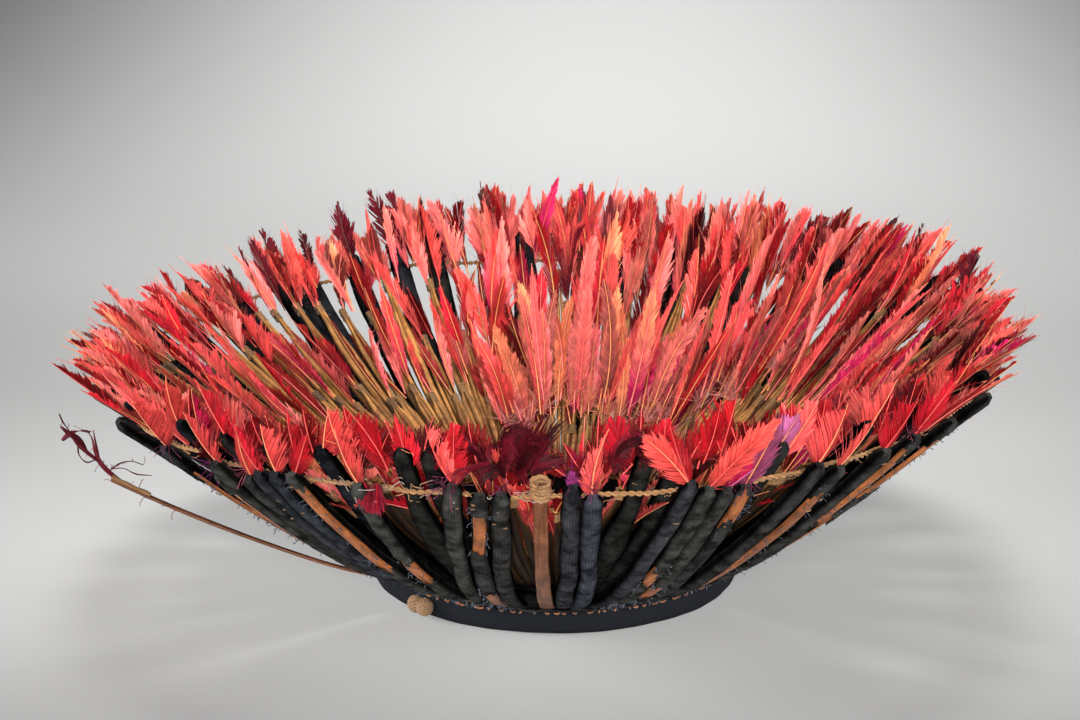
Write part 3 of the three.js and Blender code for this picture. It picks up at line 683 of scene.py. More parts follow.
def wrapped_rib(piece, rib, row, torn=(), fuller=1.0):
    """A slat wrapped in wool: a puckered sleeve, worn through in places, sewn shut at its tip.
    row is 1 for the outer row and -1 for the inner one."""
    steps, sides = 56, 14
    foot, tip, reach = rib
    share = np.linspace(0, reach, steps)
    azimuth = foot + (tip - foot) * share / reach
    point, along, side, out = wall(azimuth, share, row * grown(ROW_OFFSET, share))
    phase = rng.uniform(0, 6, 6)
    mm = share * WALL_LENGTH
    sag = 0.5 * np.sin(mm / 19 + phase[0]) + 0.3 * np.sin(mm / 8 + phase[1])
    held_at_foot = ease(share / 0.2)[:, None]
    held_at_tip = 1 - ease((share - reach + 0.2) / 0.2)
    point = point + side * sag[:, None] * held_at_foot * held_at_tip[:, None]
    if angle_from(tip, 0) < FRONT_END:
        fuller = fuller + (1 - fuller) * ease((share - 0.6) / 0.3)
    wide = grown(RIB_WIDE, share) * fuller * (1 + 0.04 * np.sin(mm / 14 + phase[2]))
    thick = grown(RIB_THICK, share) * (1 + 0.03 * np.sin(mm / 11 + phase[3]))
    turn = np.arange(sides) * 2 * math.pi / sides
    swell = (
        0.12 * np.sin(mm[:, None] / 5.3 + 2 * turn + phase[4])
        + 0.06 * np.sin(mm[:, None] / 2.9 - 3 * turn + phase[5])
        + rng.normal(0, 0.05, (steps, sides))
        + 0.75 * ((turn / (2 * math.pi) + rng.random() + 0.1 * np.sin(mm[:, None] / 40)) % 1)
    )
    wool = WOOL_BLUE if rng.random() < 0.5 else WOOL_GREEN
    colour = blend_of(WOOL_BLACK, wool, rng.uniform(0.2, 1.0))
    keep = np.ones((steps - 1, sides), bool)
    middle_share = (share[:-1] + share[1:])[:, None] / 2 / reach
    outside = np.sin(turn - math.pi / 2 + math.pi / sides) > 0.25
    for start, end in torn:
        ragged = rng.normal(0, 0.02, sides)
        keep &= ~((middle_share > start + ragged) & (middle_share < end + ragged) & outside)
    # Painted light and shade: the rib's faces that look out and in are painted lighter and its edges
    # darker, it is darker towards its foot, and the inner row is darker still.
    facing = np.abs(np.sin(turn - math.pi / 2))
    darker_foot = 1 - 0.55 * ease((0.22 - share) / 0.22)
    lit = (0.06 + 1.7 * ease((facing - 0.1) / 0.9))[None, :, None] * darker_foot[:, None, None]
    if row < 0:
        lit = lit * 0.4
    tube(piece, point, side, out, wide, thick, WOOL, colour * lit, sides=sides, square=0.8,
         swell=swell, keep=keep, rounded=4.0)
    for start, end in torn:
        bare = (share / reach > max(0, start - 0.05)) & (share / reach < min(1, end + 0.05))
        slat = blend_of(SLAT_BROWN, SLAT_ORANGE, rng.uniform(0.2, 1))
        tube(piece, (point + out * 1.1)[bare], side[bare], out[bare], wide[bare] * 0.72,
             thick[bare] * 0.5, SLAT, slat, sides=12, square=0.45)
        for _ in range(int(14 + 60 * (end - start))):
            where = rng.integers(0, bare.sum())
            edge = rng.choice([-1, 1])
            root = (point + out * 2.2 + side * edge * wide[:, None] * 0.42)[bare][where]
            away = side[bare][where] * edge * 0.3 + out[bare][where] * 0.5 + rng.normal(0, 0.4, 3)
            frayed(piece, root, away, rng.uniform(1.5, 4.5), dyed(WOOL_FRAYED, 0.4, 1.1), 0.2)
    for _ in range(rng.integers(1, 6)):
        k = int(steps * rng.uniform(0.76, 0.98))
        face = rng.choice([-1, 1])
        middle = point[k] + out[k] * face * thick[k] * 0.47 + side[k] * rng.uniform(-0.3, 0.3) * wide[k]
        way = unit(side[k] + along[k] * rng.uniform(-0.6, 0.6))
        stitch(piece, middle, way, out[k] * face, rng.uniform(1.5, 3.2), 0.35, dyed(STRAW, 0.3, 0.8))


def head_band():
    """Padded hoop in twill with a turned dark edge, its ribs sewn down with straw thread."""
    piece = Piece("band_twill_hoop")
    around_steps, section_steps = 240, 26
    turn = np.linspace(0, 2 * math.pi, section_steps, endpoint=False)
    radius = (BAND_INNER + BAND_OUTER) / 2 + boxy(np.cos(turn), 0.75) * (BAND_OUTER - BAND_INNER) / 2
    height = BAND_TOP / 2 + boxy(np.sin(turn), 0.6) * BAND_TOP / 2
    azimuth = np.linspace(0, 2 * math.pi, around_steps, endpoint=False)
    puff = 1 + 0.003 * np.sin(azimuth * 9) + 0.0015 * np.sin(azimuth * 31)
    ring = np.stack([
        np.outer(np.sin(azimuth) * puff, radius), np.outer(-np.cos(azimuth) * puff, radius),
        np.broadcast_to(height, (around_steps, section_steps)),
    ], -1)
    looped = np.concatenate([ring, ring[:1]])
    faces, row, column = grid_faces(around_steps + 1, section_steps)
    u = np.stack([row, row + 1, row + 1, row], -1) * 2 * math.pi * BAND_OUTER / around_steps
    v = np.stack([column, column, column + 1, column + 1], -1) * 1.6
    piece.add(looped, faces[:, ::-1], TWILL, linear(TWILL_INDIGO), np.stack([u, v], -1)[:, ::-1])
    steps = 300
    a = np.linspace(-180, 180, steps)
    point, along, side, out = wall(a, 0.008, 5.2 + 0.5 * np.sin(np.radians(a) * 37))
    tube(piece, point, along, out, 4.6, 1.5, WOOL, linear(WOOL_BLACK), square=0.6,
         swell=rng.normal(0, 0.12, (steps, 8)))
    for a in np.arange(-180, 180, 3.1):
        point, along, side, out = wall(a + rng.uniform(-1.4, 1.4), rng.uniform(0.008, 0.02), 6.2)
        way = unit(along * 0.6 + side * rng.uniform(-0.8, 0.8))
        stitch(piece, point, way, out, rng.uniform(2.5, 4.5), 0.5, dyed(SLAT_ORANGE, 0.15, 0.8))
    # Painted shade: a dark wool roll, painted at half the darkest wool, lies round the wall's foot and
    # closes the slit between the band's top and the ribs, where there would be only shade.
    a = np.linspace(-180, 180, 240)
    point, along, side, out = wall(a, 0.0, 0.0)
    tube(piece, point + along * 1.5 - out * 0.6, along, out, 17.0, 8.6, WOOL,
         linear(WOOL_BLACK) * 0.5)
    piece.make("band_cloth", "head_band")


def outer_ribs():
    for number, rib in enumerate(OUTER_RIBS, 1):
        piece = Piece(f"outer_rib_{number:02d}_wool")
        fuller = 1.0 if number <= len(FRONT_OUTER) else 1.25
        wrapped_rib(piece, rib, 1, TORN.get(number, ()), fuller)
        piece.make("cloth_wrap", f"outer_rib_{number:02d}")


def inner_ribs():
    for side_name, middle in QUARTERS.items():
        piece = Piece(f"inner_ribs_{side_name}_wool")
        for rib in INNER_RIBS:
            if (rib[0] - middle + 45) % 360 < 90:
                wrapped_rib(piece, rib, -1, fuller=1.6 if side_name == "front" else 1.35)
        # Painted shade: a wide wool strip inside the inner row, low on the wall, painted at 0.6 of the
        # darkest wool.
        a = np.linspace(middle - STRIP_HALF, middle + STRIP_HALF, 60)
        point, along, side, out = wall(a, 0.05, -grown(ROW_OFFSET, 0.05) - 3.2)
        tube(piece, point, along, out, 19.5, STRIP_THICK, WOOL, linear(WOOL_BLACK) * 0.6,
             square=0.5, swell=rng.normal(0, 0.1, (60, 8)))
        piece.make("cloth_wrap", f"inner_ribs_{side_name}")


def bare_slat():
    """The slat that has lost its cloth, with straw wound round it where the twine crosses."""
    piece = Piece("bare_slat_wood")
    foot, tip, reach = BARE_SLAT
    share = np.linspace(0, reach, 60)
    part = share / reach
    in_row, behind_twine = 2.6, -1.2
    offset = in_row + (behind_twine - in_row) * ease((part - 0.7) / 0.3)
    bow = 1.2 * np.sin(part * math.pi)
    point, along, side, out = wall(foot + (tip - foot) * part, share, offset + bow)
    mm = share * WALL_LENGTH
    wide = 7.4 + 0.5 * np.sin(mm / 31) + 0.3 * np.sin(mm / 7)
    swell = rng.normal(0, 0.05, (60, 14))
    tube(piece, point, side, out, wide, 2.8, SLAT, linear(SLAT_BROWN), sides=14, square=0.4,
         swell=swell)
    point, along, side, out = wall(tip, TWINE_SHARE + 0.035, 0.4)
    turns = np.linspace(0, 2 * math.pi * 7, 180)
    climb = np.linspace(-6.5, 6.5, 180) + 0.8 * np.sin(turns * 0.37)
    coil = (
        point + np.outer(np.cos(turns) * (4.1 + 0.3 * np.sin(turns * 1.7)), side)
        + np.outer(np.sin(turns) * 3.2, out) + np.outer(climb, along)
    )
    thread(piece, coil, 0.85, STRAW_FIBRE, linear(STRAW))
    for _ in range(16):
        root = point + side * rng.uniform(-4, 4) + along * rng.uniform(-4, 7) + out * 2.5
        way = along * 0.5 + out * 0.3 + side * rng.uniform(-1, 1)
        frayed(piece, root, way, rng.uniform(5, 12), dyed(STRAW, 0.6, 1.1), 0.25)
    piece.make("slat_wood", "bare_slat")


def rim_twine():
    """Two straw strands twisted together, with a little slack between the ribs."""
    piece = Piece("rim_twine_straw")
    steps = 1500
    a = np.linspace(-180, 180, steps)
    ripple = 0.006 * np.sin(np.radians(a) * 13) + 0.004 * np.sin(np.radians(a) * 29 + 1)
    point, along, side, out = wall(a, TWINE_SHARE + ripple, 0.5 * np.sin(np.radians(a) * 41))
    turn_length = 7.5
    twist = np.radians(a) * WALL_TIP[0] * 2 * math.pi / turn_length
    for start in (0, math.pi):
        up, outward = (wave(twist + start) * 0.72 for wave in (np.cos, np.sin))
        strand = point + along * up[:, None] + out * outward[:, None]
        tint = linear(STRAW)[None] * (1 + 0.18 * np.sin(a * 1.7 + start))[:, None]
        tube(piece, strand, along, out, 1.5, 1.5, STRAW_FIBRE, tint, sides=6)
    for a in rng.uniform(-60, 60, 26):
        point, along, side, out = wall(a, TWINE_SHARE, 1.6)
        way = side * rng.choice([-1, 1]) + out * 0.3
        frayed(piece, point, way, rng.uniform(3, 8), linear(STRAW) * 0.9, 0.2)
    piece.make("straw_twine", "rim_twine")


def cane(piece, azimuth, tier, end):
    """Two or three splints of cane side by side, bound with thread into a neck near the top,
    with painted shade on their backs and towards their feet, so that the gaps between them look dark."""
    share = np.linspace(0, end, 18)
    lean = rng.normal(0, 0.6) * ease(share / end)
    point, along, side, out = wall(azimuth + lean, share, cane_offset(share, tier))
    fuller = 1.75 if angle_from(azimuth, 0) < 48 else 1
    wide = grown(CANE_WIDE, share) * rng.uniform(0.85, 1.15) * fuller
    splints = rng.integers(2, 4)
    neck = 1 - 0.62 * ease((share / end - 0.74) / 0.2)
    # Painted shade: each splint is painted near black on its back, the side that faces the ribs and
    # away from the light, and darker towards its foot.
    painted_back_shade = np.array([1.1, 0.7, 0.12, 0.02, 0.12, 0.7])[None, :, None]
    foot_shade = (0.4 + 0.6 * ease(share / 0.25))[:, None, None]
    for k in range(splints):
        shift = (k - (splints - 1) / 2) * wide / splints
        bow = rng.normal(0, 0.4) * np.sin(share / end * math.pi)
        path = point + side * (shift * neck + bow)[:, None] - out * rng.uniform(0, 0.7)
        colour = blend_of(CANE_GOLD, CANE_BROWN, rng.uniform(0, 1)) * rng.uniform(0.6, 1.15)
        tube(piece, path, side, out, wide / splints * 0.98 * neck, CANE_THICK * 0.9,
             CANE, colour * painted_back_shade * foot_shade, sides=6, square=0.9)
    neck_share = end - 0.022
    at, up, across, away = wall(azimuth + lean[-1], neck_share, cane_offset(neck_share, tier))
    coil_turns = 8
    turns = np.linspace(0, 2 * math.pi * coil_turns, 7 * coil_turns)
    width = wide[-1] * 0.26 * (1 + 0.14 * np.sin(turns * 0.31))
    coil = (
        at + np.outer(np.cos(turns) * width, across) + np.outer(np.sin(turns) * 1.8, away)
        + np.outer(np.linspace(-4.0, 4.0, len(turns)), up)
    )
    thread(piece, coil, 0.5, SEWING, dyed(TAN_YARN, 0.6, 1.3), sides=4)


def cane_tier(name, node, tier, canes, middle=0, half=180):
    """Canes side by side within so many degrees of an azimuth, bound round their feet."""
    piece = Piece(name)
    for azimuth, top in canes:
        if (azimuth - middle + half) % 360 < 2 * half:
            cane(piece, azimuth, tier, top)
    steps = int(half * 1.1)
    a = np.linspace(middle - half, middle + half, steps)
    point, along, side, out = wall(a, 0.02, cane_offset(0.02, tier))
    tube(piece, point, along, out, 5, 3.4, WOOL, linear(WOOL_BLACK),
         swell=rng.normal(0, 0.15, (steps, 8)))
    piece.make("cane", node)


def uneven(tops, chances):
    """The canes of a tier as azimuth and top: each ends at one of the tops, more or less."""
    canes = []
    for i in range(CANE_COUNT):
        top = tops[rng.choice(len(tops), p=chances)] + rng.normal(0, 0.016)
        canes.append((i * 360 / CANE_COUNT + rng.normal(0, 0.5), top))
    return canes


MIDDLE_CANES = uneven((MIDDLE_CANE_TOP, 0.77, 0.66), (0.62, 0.2, 0.18))
INNER_CANES = [
    (azimuth, top - 0.23 * ease((38 - angle_from(azimuth, 168)) / 16))
    for azimuth, top in uneven((INNER_CANE_TOP, 0.38), (0.7, 0.3))
]


# How often each dye comes, by where a feather stands.
SIDE_DYES = {
    CORAL: 6, SALMON: 5, CRIMSON: 1.6, MAGENTA: 0.5, DEEP_RED: 0.4, PEACH: 0.7, DRIED_ROSE: 0.5}
BACK_DYES = {CORAL: 6, SALMON: 5, CRIMSON: 1.4, MAGENTA: 0.6, DRIED_ROSE: 1.4, PEACH: 0.2}
CENTRE_DYES = {PEACH: 5, SALMON: 4, CORAL: 2.5, DRIED_ROSE: 0.8}
# The darker dyes for feathers that lie under others, chosen as painted shade.
SHADED_LAYER_DYES = {CRIMSON: 5, DEEP_RED: 3, DRIED_ROSE: 1, CORAL: 1.5, MAGENTA: 0.4}
RIGHT_DYES = {
    CORAL: 5, CRIMSON: 2.4, SALMON: 3.6, MAGENTA: 0.8, DEEP_RED: 0.8, DRIED_ROSE: 0.8, PEACH: 0.4}
FRONT_DYES = {CRIMSON: 4, CORAL: 2.5, DEEP_RED: 3, MAGENTA: 0.25, MAROON: 1, SALMON: 0.6}


def dyes_at(azimuth):
    """How often each dye comes among the feathers at an azimuth."""
    if angle_from(azimuth, 180) < 55:
        return BACK_DYES
    if 50 < azimuth % 360 < 150:
        return RIGHT_DYES
    return SIDE_DYES


def rising_feather(piece, azimuth, share, offset, length, width, colour, form, rise, fan,
                   bend, sway, shaft, second=None, shade_and_tone=1.0):
    """A feather on the wall: rise tips it off the wall to the bowl's inside, in degrees, and fan
    leans it to the right as a share of its length."""
    point, along, side, out = wall(azimuth, share, offset)
    tip = math.radians(rise)
    heading = along * math.cos(tip) - out * math.sin(tip) + side * fan
    face = unit(-out * math.cos(tip) - along * math.sin(tip) + side * rng.normal(0, 0.45))
    feather(piece, point, heading, face, length, width, colour, form, bend, sway, shaft, second, shade_and_tone)


def shorter(azimuth):
    """How much of their length the rim's feathers keep: the left side's are worn down most."""
    left = ease((62 - angle_from(azimuth, 246)) / 34)
    right = ease((40 - angle_from(azimuth, 84)) / 34)
    return 1 - 0.42 * left - 0.42 * right - 0.12 * ease((30 - angle_from(azimuth, 146)) / 20)


def second_dye(colour):
    """What another dye bath left on a feather of this colour, or None."""
    if colour in (CORAL, SALMON, PEACH):
        return pick({MAGENTA: 3, CRIMSON: 2, colour: 4, DRIED_ROSE: 1})
    return None


def tier_feather(piece, azimuth, share, offset, length, width, colour, form, rise, shade_and_tone=1.0):
    """A feather of a tier, with the stray that hand work and age have given it."""
    shafts = {SHAFT_PEACH: 3, CORAL: 2, SALMON: 2, CANE_GOLD: 1}
    rising_feather(
        piece, azimuth, share, offset, length, width, colour, form,
        rise + rng.normal(0, 3), rng.normal(0, 0.1), rng.normal(0.05, 0.2), rng.normal(0, 0.22),
        SHAFT_DARK if colour == MAROON else pick(shafts), second_dye(colour), shade_and_tone)


def inner_plumes():
    piece = Piece("inner_plume_feathers")
    for azimuth, top in INNER_CANES:
        centre = angle_from(azimuth, 173)
        covered, left = angle_from(azimuth, 160) < 34, angle_from(azimuth, 232) < 40
        # The first feather of each cane lies under the others and is painted darker as shade; the
        # others get a random tone.
        for extra in range(6 if covered else 2 if left else 3):
            broad = centre < 24 and rng.random() < 0.7
            colour = pick(CENTRE_DYES if centre < 20 else dyes_at(azimuth))
            tier_feather(
                piece, azimuth + rng.normal(0, 0.5 + 0.6 * extra), top - 0.01 + 0.015 * extra,
                cane_offset(0.45, 1) - 1.3 * extra, rng.uniform(66, 98) * (0.85 if left else 1),
                rng.uniform(10, 14) if broad else rng.uniform(5.5, 8.5),
                colour, BROAD if broad else pick_form(0.8), 0.5 + 2.2 * extra,
                0.4 if extra == 0 else rng.uniform(0.7, 1.0))
        if covered:
            point, along, side, out = wall(azimuth, top, cane_offset(0.45, 1) - 2.5)
            down = DOWN_PINK if centre > 9 else PEACH
            fluff(piece, point + along * rng.uniform(2, 16), along, 12, down)
    piece.make("inner_plume", "inner_plumes")


def middle_plumes():
    piece = Piece("middle_plume_feathers")
    for azimuth, top in MIDDLE_CANES:
        front, back = angle_from(azimuth, 0), angle_from(azimuth, 165)
        packed, broad = back < 36, back < 40
        for extra in range(4 if packed else 3):
            # Shaded feathers, the lowest of each cane and a few more, get the darker dyes and are
            # painted darker: painted shade.
            shaded = extra == 0 or rng.random() < 0.15
            colour = MAROON if rng.random() < 0.03 else pick(SHADED_LAYER_DYES if shaded else dyes_at(azimuth))
            tier_feather(
                piece, azimuth + rng.normal(0, 0.5 + 0.6 * extra),
                top - 0.02 - (0.06 if packed else 0.0) * extra, cane_offset(0.86, 0) - 1.2 * extra,
                rng.uniform(58, 84) * (0.62 if front < 50 else 1) * (0.35 + 0.65 * shorter(azimuth)),
                rng.uniform(6, 9) * (1.5 if broad else 1.05), colour,
                pick_form(0.8 if broad else 0.5), 0.5 + 2 * extra,
                0.4 if shaded else rng.uniform(0.85, 1.2))
    piece.make("plume", "middle_plumes")


def outer_plumes():
    piece = Piece("outer_plume_feathers")
    for row, ribs in ((1, OUTER_RIBS), (-1, INNER_RIBS)):
        for foot, tip, reach in ribs:
            if angle_from(tip, 0) < 50:
                continue
            packed = angle_from(tip, 160) < 42
            for extra in range(5 if packed else 3):
                # The lowest feather of each rib gets the darker dyes and is painted darker: painted
                # shade.
                shaded = extra == 0
                colour = MAROON if rng.random() < 0.02 else pick(SHADED_LAYER_DYES if shaded else dyes_at(tip))
                tier_feather(
                    piece, tip + rng.uniform(-3.6, 3.6), min(reach, 1.02) - 0.05 - 0.06 * rng.random(),
                    row * 4.2 - 4 - 1.0 * extra, rng.uniform(46, 64) * shorter(tip),
                    rng.uniform(7, 11) * (1.25 if packed else 0.85), colour,
                    WISPY if colour == MAROON else pick_form(0.7 if packed else 0.45), 1,
                    0.45 if shaded else rng.uniform(0.8, 1.1))
    thicker = ((120, 204, 88), (204, 262, 30), (62, 120, 24))
    for azimuth in np.concatenate([rng.uniform(*stretch) for stretch in thicker]):
        tier_feather(
            piece, azimuth, rng.uniform(0.86, 0.97), rng.uniform(-7, 1),
            rng.uniform(46, 66) * shorter(azimuth), rng.uniform(7, 11), pick(dyes_at(azimuth)),
            pick_form(0.6), 1, rng.uniform(0.5, 1.05))
    for azimuth, share, length, width, dye, form in REAR_PLUMES:
        rising_feather(piece, azimuth, share, -8, length, width, dye, form, 2, rng.normal(0, 0.1),
                       rng.uniform(0.1, 0.5), rng.normal(0, 0.3), SHAFT_DARK)
    front_plumes(piece)
    piece.make("plume", "outer_plumes")


def pick_form(blades):
    """A blade for this share of the feathers, or else mostly a spike."""
    if rng.random() < blades:
        return BLADE
    return (SPIKE, SPIKE, SPIKE, BRUSH)[rng.integers(4)]


# Dark feathers that stand up at the back: azimuth, share at the root, length, width, dye, form.
REAR_PLUMES = (
    (203.5, 1.0, 52, 15, MAROON, WISPY), (205.0, 0.96, 56, 13, MAROON, WISPY),
    (212.5, 1.0, 38, 12, MAROON, WISPY), (226.0, 1.0, 34, 11, MAROON, WISPY),
    (190.5, 1.02, 54, 10, SHAFT_DARK, WISPY), (176.5, 0.95, 52, 12, "#6e3a38", BLADE),
    (165.0, 0.98, 54, 12, RUSSET, BROAD), (171.0, 0.9, 52, 14, RUSSET, BLADE),
    (104.0, 1.0, 36, 10, MAROON, WISPY),
)
# The front's plumes, left to right: azimuth, share of the wall at the root, length, width, dye,
# form, rise off the wall in degrees, fan to the right, bend, and the shaft's dye.
FRONT_PLUMES = (
    (-51.0, 0.97, 40, 15, CORAL, LEAF, 8, -0.2, 0.2, PEACH),
    (-48.0, 1.02, 40, 16, CORAL, LEAF, 14, -0.15, 0.3, PEACH),
    (-46.0, 0.97, 42, 16, MAGENTA, LEAF, 10, 0.0, 0.3, PEACH),
    (-43.0, 0.92, 30, 16, MAROON, WISPY, 6, -0.1, 0.1, SHAFT_DARK),
    (-41.0, 0.99, 38, 17, CORAL, LEAF, 12, -0.1, 0.3, PEACH),
    (-39.0, 1.03, 40, 17, CRIMSON, LEAF, 14, 0.05, 0.3, CORAL),
    (-36.8, 0.96, 38, 15, CORAL, LEAF, 12, 0.15, 0.3, PEACH),
    (-34.4, 0.99, 34, 15, CRIMSON, LEAF, 10, -0.1, 0.4, CORAL),
    (-31.8, 1.0, 36, 17, CORAL, LEAF, 12, -0.12, 0.35, PEACH),
    (-29.0, 1.01, 36, 17, CRIMSON, LEAF, 10, 0.12, 0.35, CORAL),
    (-26.0, 1.04, 36, 18, CORAL, LEAF, 12, 0.0, 0.35, PEACH),
    (-23.0, 1.04, 38, 16, CORAL, LEAF, 8, -0.15, 0.3, PEACH),
    (-21.2, 1.0, 40, 16, CORAL, LEAF, 8, 0.12, 0.25, PEACH),
    (-18.4, 1.02, 34, 20, CRIMSON, LEAF, 14, -0.25, 0.3, CORAL),
    (-15.6, 1.04, 33, 21, CRIMSON, LEAF, 16, 0.1, 0.35, CORAL),
    (-11.4, 1.02, 34, 18, CORAL, WISPY, 10, -0.1, 0.4, CORAL),
    (-9.6, 1.03, 36, 18, CRIMSON, BROAD, 10, 0.1, 0.3, CORAL),
    (1.4, 1.01, 12, 7, PLUM, WISPY, 6, 0.0, 0.3, PLUM),
    (3.2, 1.03, 40, 17, CORAL, LEAF, 6, 0.02, 0.25, PEACH),
    (7.4, 1.05, 36, 22, DEEP_RED, BROAD, 14, 0.1, 0.4, DEEP_RED),
    (11.0, 1.04, 32, 18, CRIMSON, BROAD, 12, 0.15, 0.3, CORAL),
    (13.2, 1.04, 42, 16, CRIMSON, LEAF, 8, -0.1, 0.2, CORAL),
    (15.0, 1.02, 58, 20, CORAL, BROAD, 2, 0.0, 0.15, PEACH),
    (16.8, 1.02, 52, 18, CORAL, BROAD, 6, 0.12, 0.25, CORAL),
    (19.2, 1.03, 36, 26, CRIMSON, LEAF, 16, 0.3, 0.3, PEACH),
    (18.4, 0.99, 38, 20, MAGENTA, BROAD, 2, 0.55, 0.2, MAUVE),
    (21.2, 0.98, 40, 24, MAUVE, BROAD, 4, 0.25, 0.2, SHAFT_PEACH),
    (23.4, 1.0, 34, 22, MAUVE, BROAD, 8, 0.3, 0.2, SHAFT_PEACH),
    (25.6, 1.04, 34, 22, CORAL, LEAF, 12, 0.35, 0.3, PEACH),
    (28.0, 1.03, 34, 20, CORAL, LEAF, 12, 0.3, 0.45, PEACH),
    (30.6, 1.03, 36, 18, CRIMSON, LEAF, 12, 0.2, 0.3, CORAL),
    (33.2, 1.0, 38, 17, CORAL, LEAF, 10, 0.25, 0.3, PEACH),
    (36.2, 1.04, 38, 16, CORAL, LEAF, 10, 0.15, 0.3, PEACH),
    (39.4, 1.0, 38, 16, CRIMSON, LEAF, 10, 0.2, 0.2, CORAL),
    (43.2, 1.01, 40, 16, CRIMSON, BLADE, 8, 0.15, 0.2, CORAL),
    (47.4, 1.04, 42, 14, CORAL, BLADE, 6, 0.1, 0.2, PEACH),
)


def silk_plume(piece, root, heading, sweep, length, colour):
    """A dark plume of long silky strands in locks that sweep over to one side."""
    locks, strands = 8, 14
    heading, sweep = unit(np.asarray(heading, float)), np.asarray(sweep, float)
    t = np.linspace(0, 1, 8)[:, None]
    for _ in range(locks):
        foot = root + heading * length * rng.uniform(0, 0.5)
        way = unit(heading + rng.normal(0, 0.28, 3))
        turn = unit(sweep + rng.normal(0, 0.6, 3))
        curl = rng.uniform(0.6, 2.4)
        reach = length * rng.uniform(0.45, 0.8)
        tint = dyed(colour, 0.2, 1.2)
        for _ in range(strands):
            bend = curl * rng.uniform(0.8, 1.2)
            arc = way * np.sin(bend * t) / bend + turn * (1 - np.cos(bend * t)) / bend
            path = foot + rng.normal(0, 0.5, 3) + reach * rng.uniform(0.8, 1.05) * (
                arc + rng.normal(0, 0.07, 3) * t)
            across, _ = follow(path, (0.3, -0.8, 0.4))
            half = across * (0.36 * (1 - t) ** 0.6 * ease(t * 6) + 0.06)
            faces = np.arange(7)[:, None] * 2 + np.array([0, 1, 3, 2])
            ribbon = np.stack([path - half, path + half], 1)
            piece.add(ribbon, faces, BARBS, tint * rng.uniform(0.75, 1.25))


def wisps(piece, root, heading, size, colour):
    """Bare barbs that stand out from a broken feather's foot."""
    for _ in range(14):
        way = unit(np.asarray(heading) + rng.normal(0, 0.6, 3))
        t = np.linspace(0, 1, 5)[:, None]
        path = root + size * rng.uniform(0.4, 1) * (way * t + rng.normal(0, 0.25, 3) * t**2)
        thread(piece, path, 0.16, BARBS, dyed(colour, 0.4, 1.0), sides=3)


def front_plumes(piece):
    """The front's plumes, dark silk and bare barbs at the rib tips, and thread ends over them."""
    for azimuth, share, length, width, dye, form, rise, fan, bend, shaft in FRONT_PLUMES:
        # Painted shade: the plumes on the front's left are painted darker.
        shade_and_tone = 0.98 - 0.25 * ease((-12 - azimuth) / 8)
        rib = min(OUTER_RIBS, key=lambda each: angle_from(each[1], azimuth))
        on_rib = angle_from(rib[1], azimuth) < 1.3
        place = (rib[1], rib[2] - 0.015, 4.2) if on_rib else (azimuth, share - 0.02, -3.6)
        # The plume itself, and a broader one behind it that leans the other way, painted darker as
        # shade.
        rising_feather(piece, *place, length * rng.uniform(0.85, 1.1), width * 0.74, dye,
                       form, rise * (0.5 if on_rib else 1), fan + rng.normal(0, 0.28), bend,
                       rng.normal(0, 0.25), shaft, shade_and_tone=shade_and_tone * rng.uniform(0.75, 1.1))
        rising_feather(piece, azimuth + 1.3, share - 0.01, -6.4, length * 0.7, width * 0.9,
                       pick(FRONT_DYES), LEAF, rise + 10, -fan + rng.normal(0, 0.2), bend,
                       rng.normal(0, 0.15), CORAL, shade_and_tone=shade_and_tone * 0.6)
    # Painted shade: a row of small leaves behind the rib tips, painted very dark, fills the gaps
    # between the tips.
    for azimuth in np.linspace(-50, 50, 48):
        rising_feather(piece, azimuth, 0.98, -7.4, rng.uniform(18, 27), rng.uniform(12, 18),
                       pick(FRONT_DYES), LEAF, rng.uniform(5, 20), rng.normal(0, 0.35), 0.3, 0, CORAL,
                       shade_and_tone=0.3)
    for azimuth, share, length, lean, sweep in SILK_PLUMES:
        point, along, side, out = wall(azimuth, share, -2)
        silk_plume(piece, point, along - out * 0.3 + side * lean, side * sweep + along * 0.1,
                   length, MAROON)
    for azimuth, share, size, colour in WISPS:
        point, along, side, out = wall(azimuth, share, 2)
        wisps(piece, point, along * 0.6 + out * 0.5, size, colour)
    for azimuth, share in ((-20.6, 1.0), (-19.8, 0.98), (-19.2, 1.0)):
        point, along, side, out = wall(azimuth, share, 3.5)
        way = -along + out * 0.5 + side * rng.normal(0, 0.25)
        feather(piece, point, way, out, rng.uniform(14, 20), 8, MAROON, WISPY, shaft=DEEP_RED,
                shade_and_tone=1.6)
    for azimuth in rng.uniform(-27, 0, 22):
        point, along, side, out = wall(azimuth, 0.98, rng.uniform(-1, 3))
        way = along * rng.uniform(-0.3, 0.8) + side * rng.choice([-1, 1]) + out * 0.4
        frayed(piece, point, way, rng.uniform(10, 24), blend_of(GREY_THREAD, STRAW, rng.random()), 0.24)


# Dark silky plumes: azimuth, share at the root, length, lean to the right, sweep to the right.
SILK_PLUMES = (
    (-6.8, 1.0, 30, -0.2, -0.5), (-5.4, 1.0, 38, 0.0, 0.3), (-4.0, 1.0, 38, 0.15, 0.8),
    (-2.8, 1.0, 32, 0.3, 0.9), (-12.6, 1.03, 20, 0.1, 0.6), (6.0, 1.02, 24, 0.1, 0.7),
    (8.6, 1.03, 24, 0.2, 0.7), (10.6, 1.03, 20, 0.0, -0.5),
)
# Bare barbs at rib tips: azimuth, share, size, and dye.
WISPS = (
    (1.7, 1.03, 18, PLUM), (3.6, 1.0, 12, PLUM), (-10.6, 1.03, 16, "#8c3a5c"),
    (-12.0, 1.0, 14, "#a65a7a"), (-5.8, 1.0, 9, "#8c3a5c"), (-43.6, 0.93, 13, PLUM),
    (-37.2, 0.96, 12, "#a65a6a"), (20.8, 0.99, 12, "#9a3060"), (-51.0, 0.98, 14, "#8c4a6c"),
    (18.6, 0.99, 10, "#9a3060"), (43.0, 1.02, 12, "#b05a70"),
)


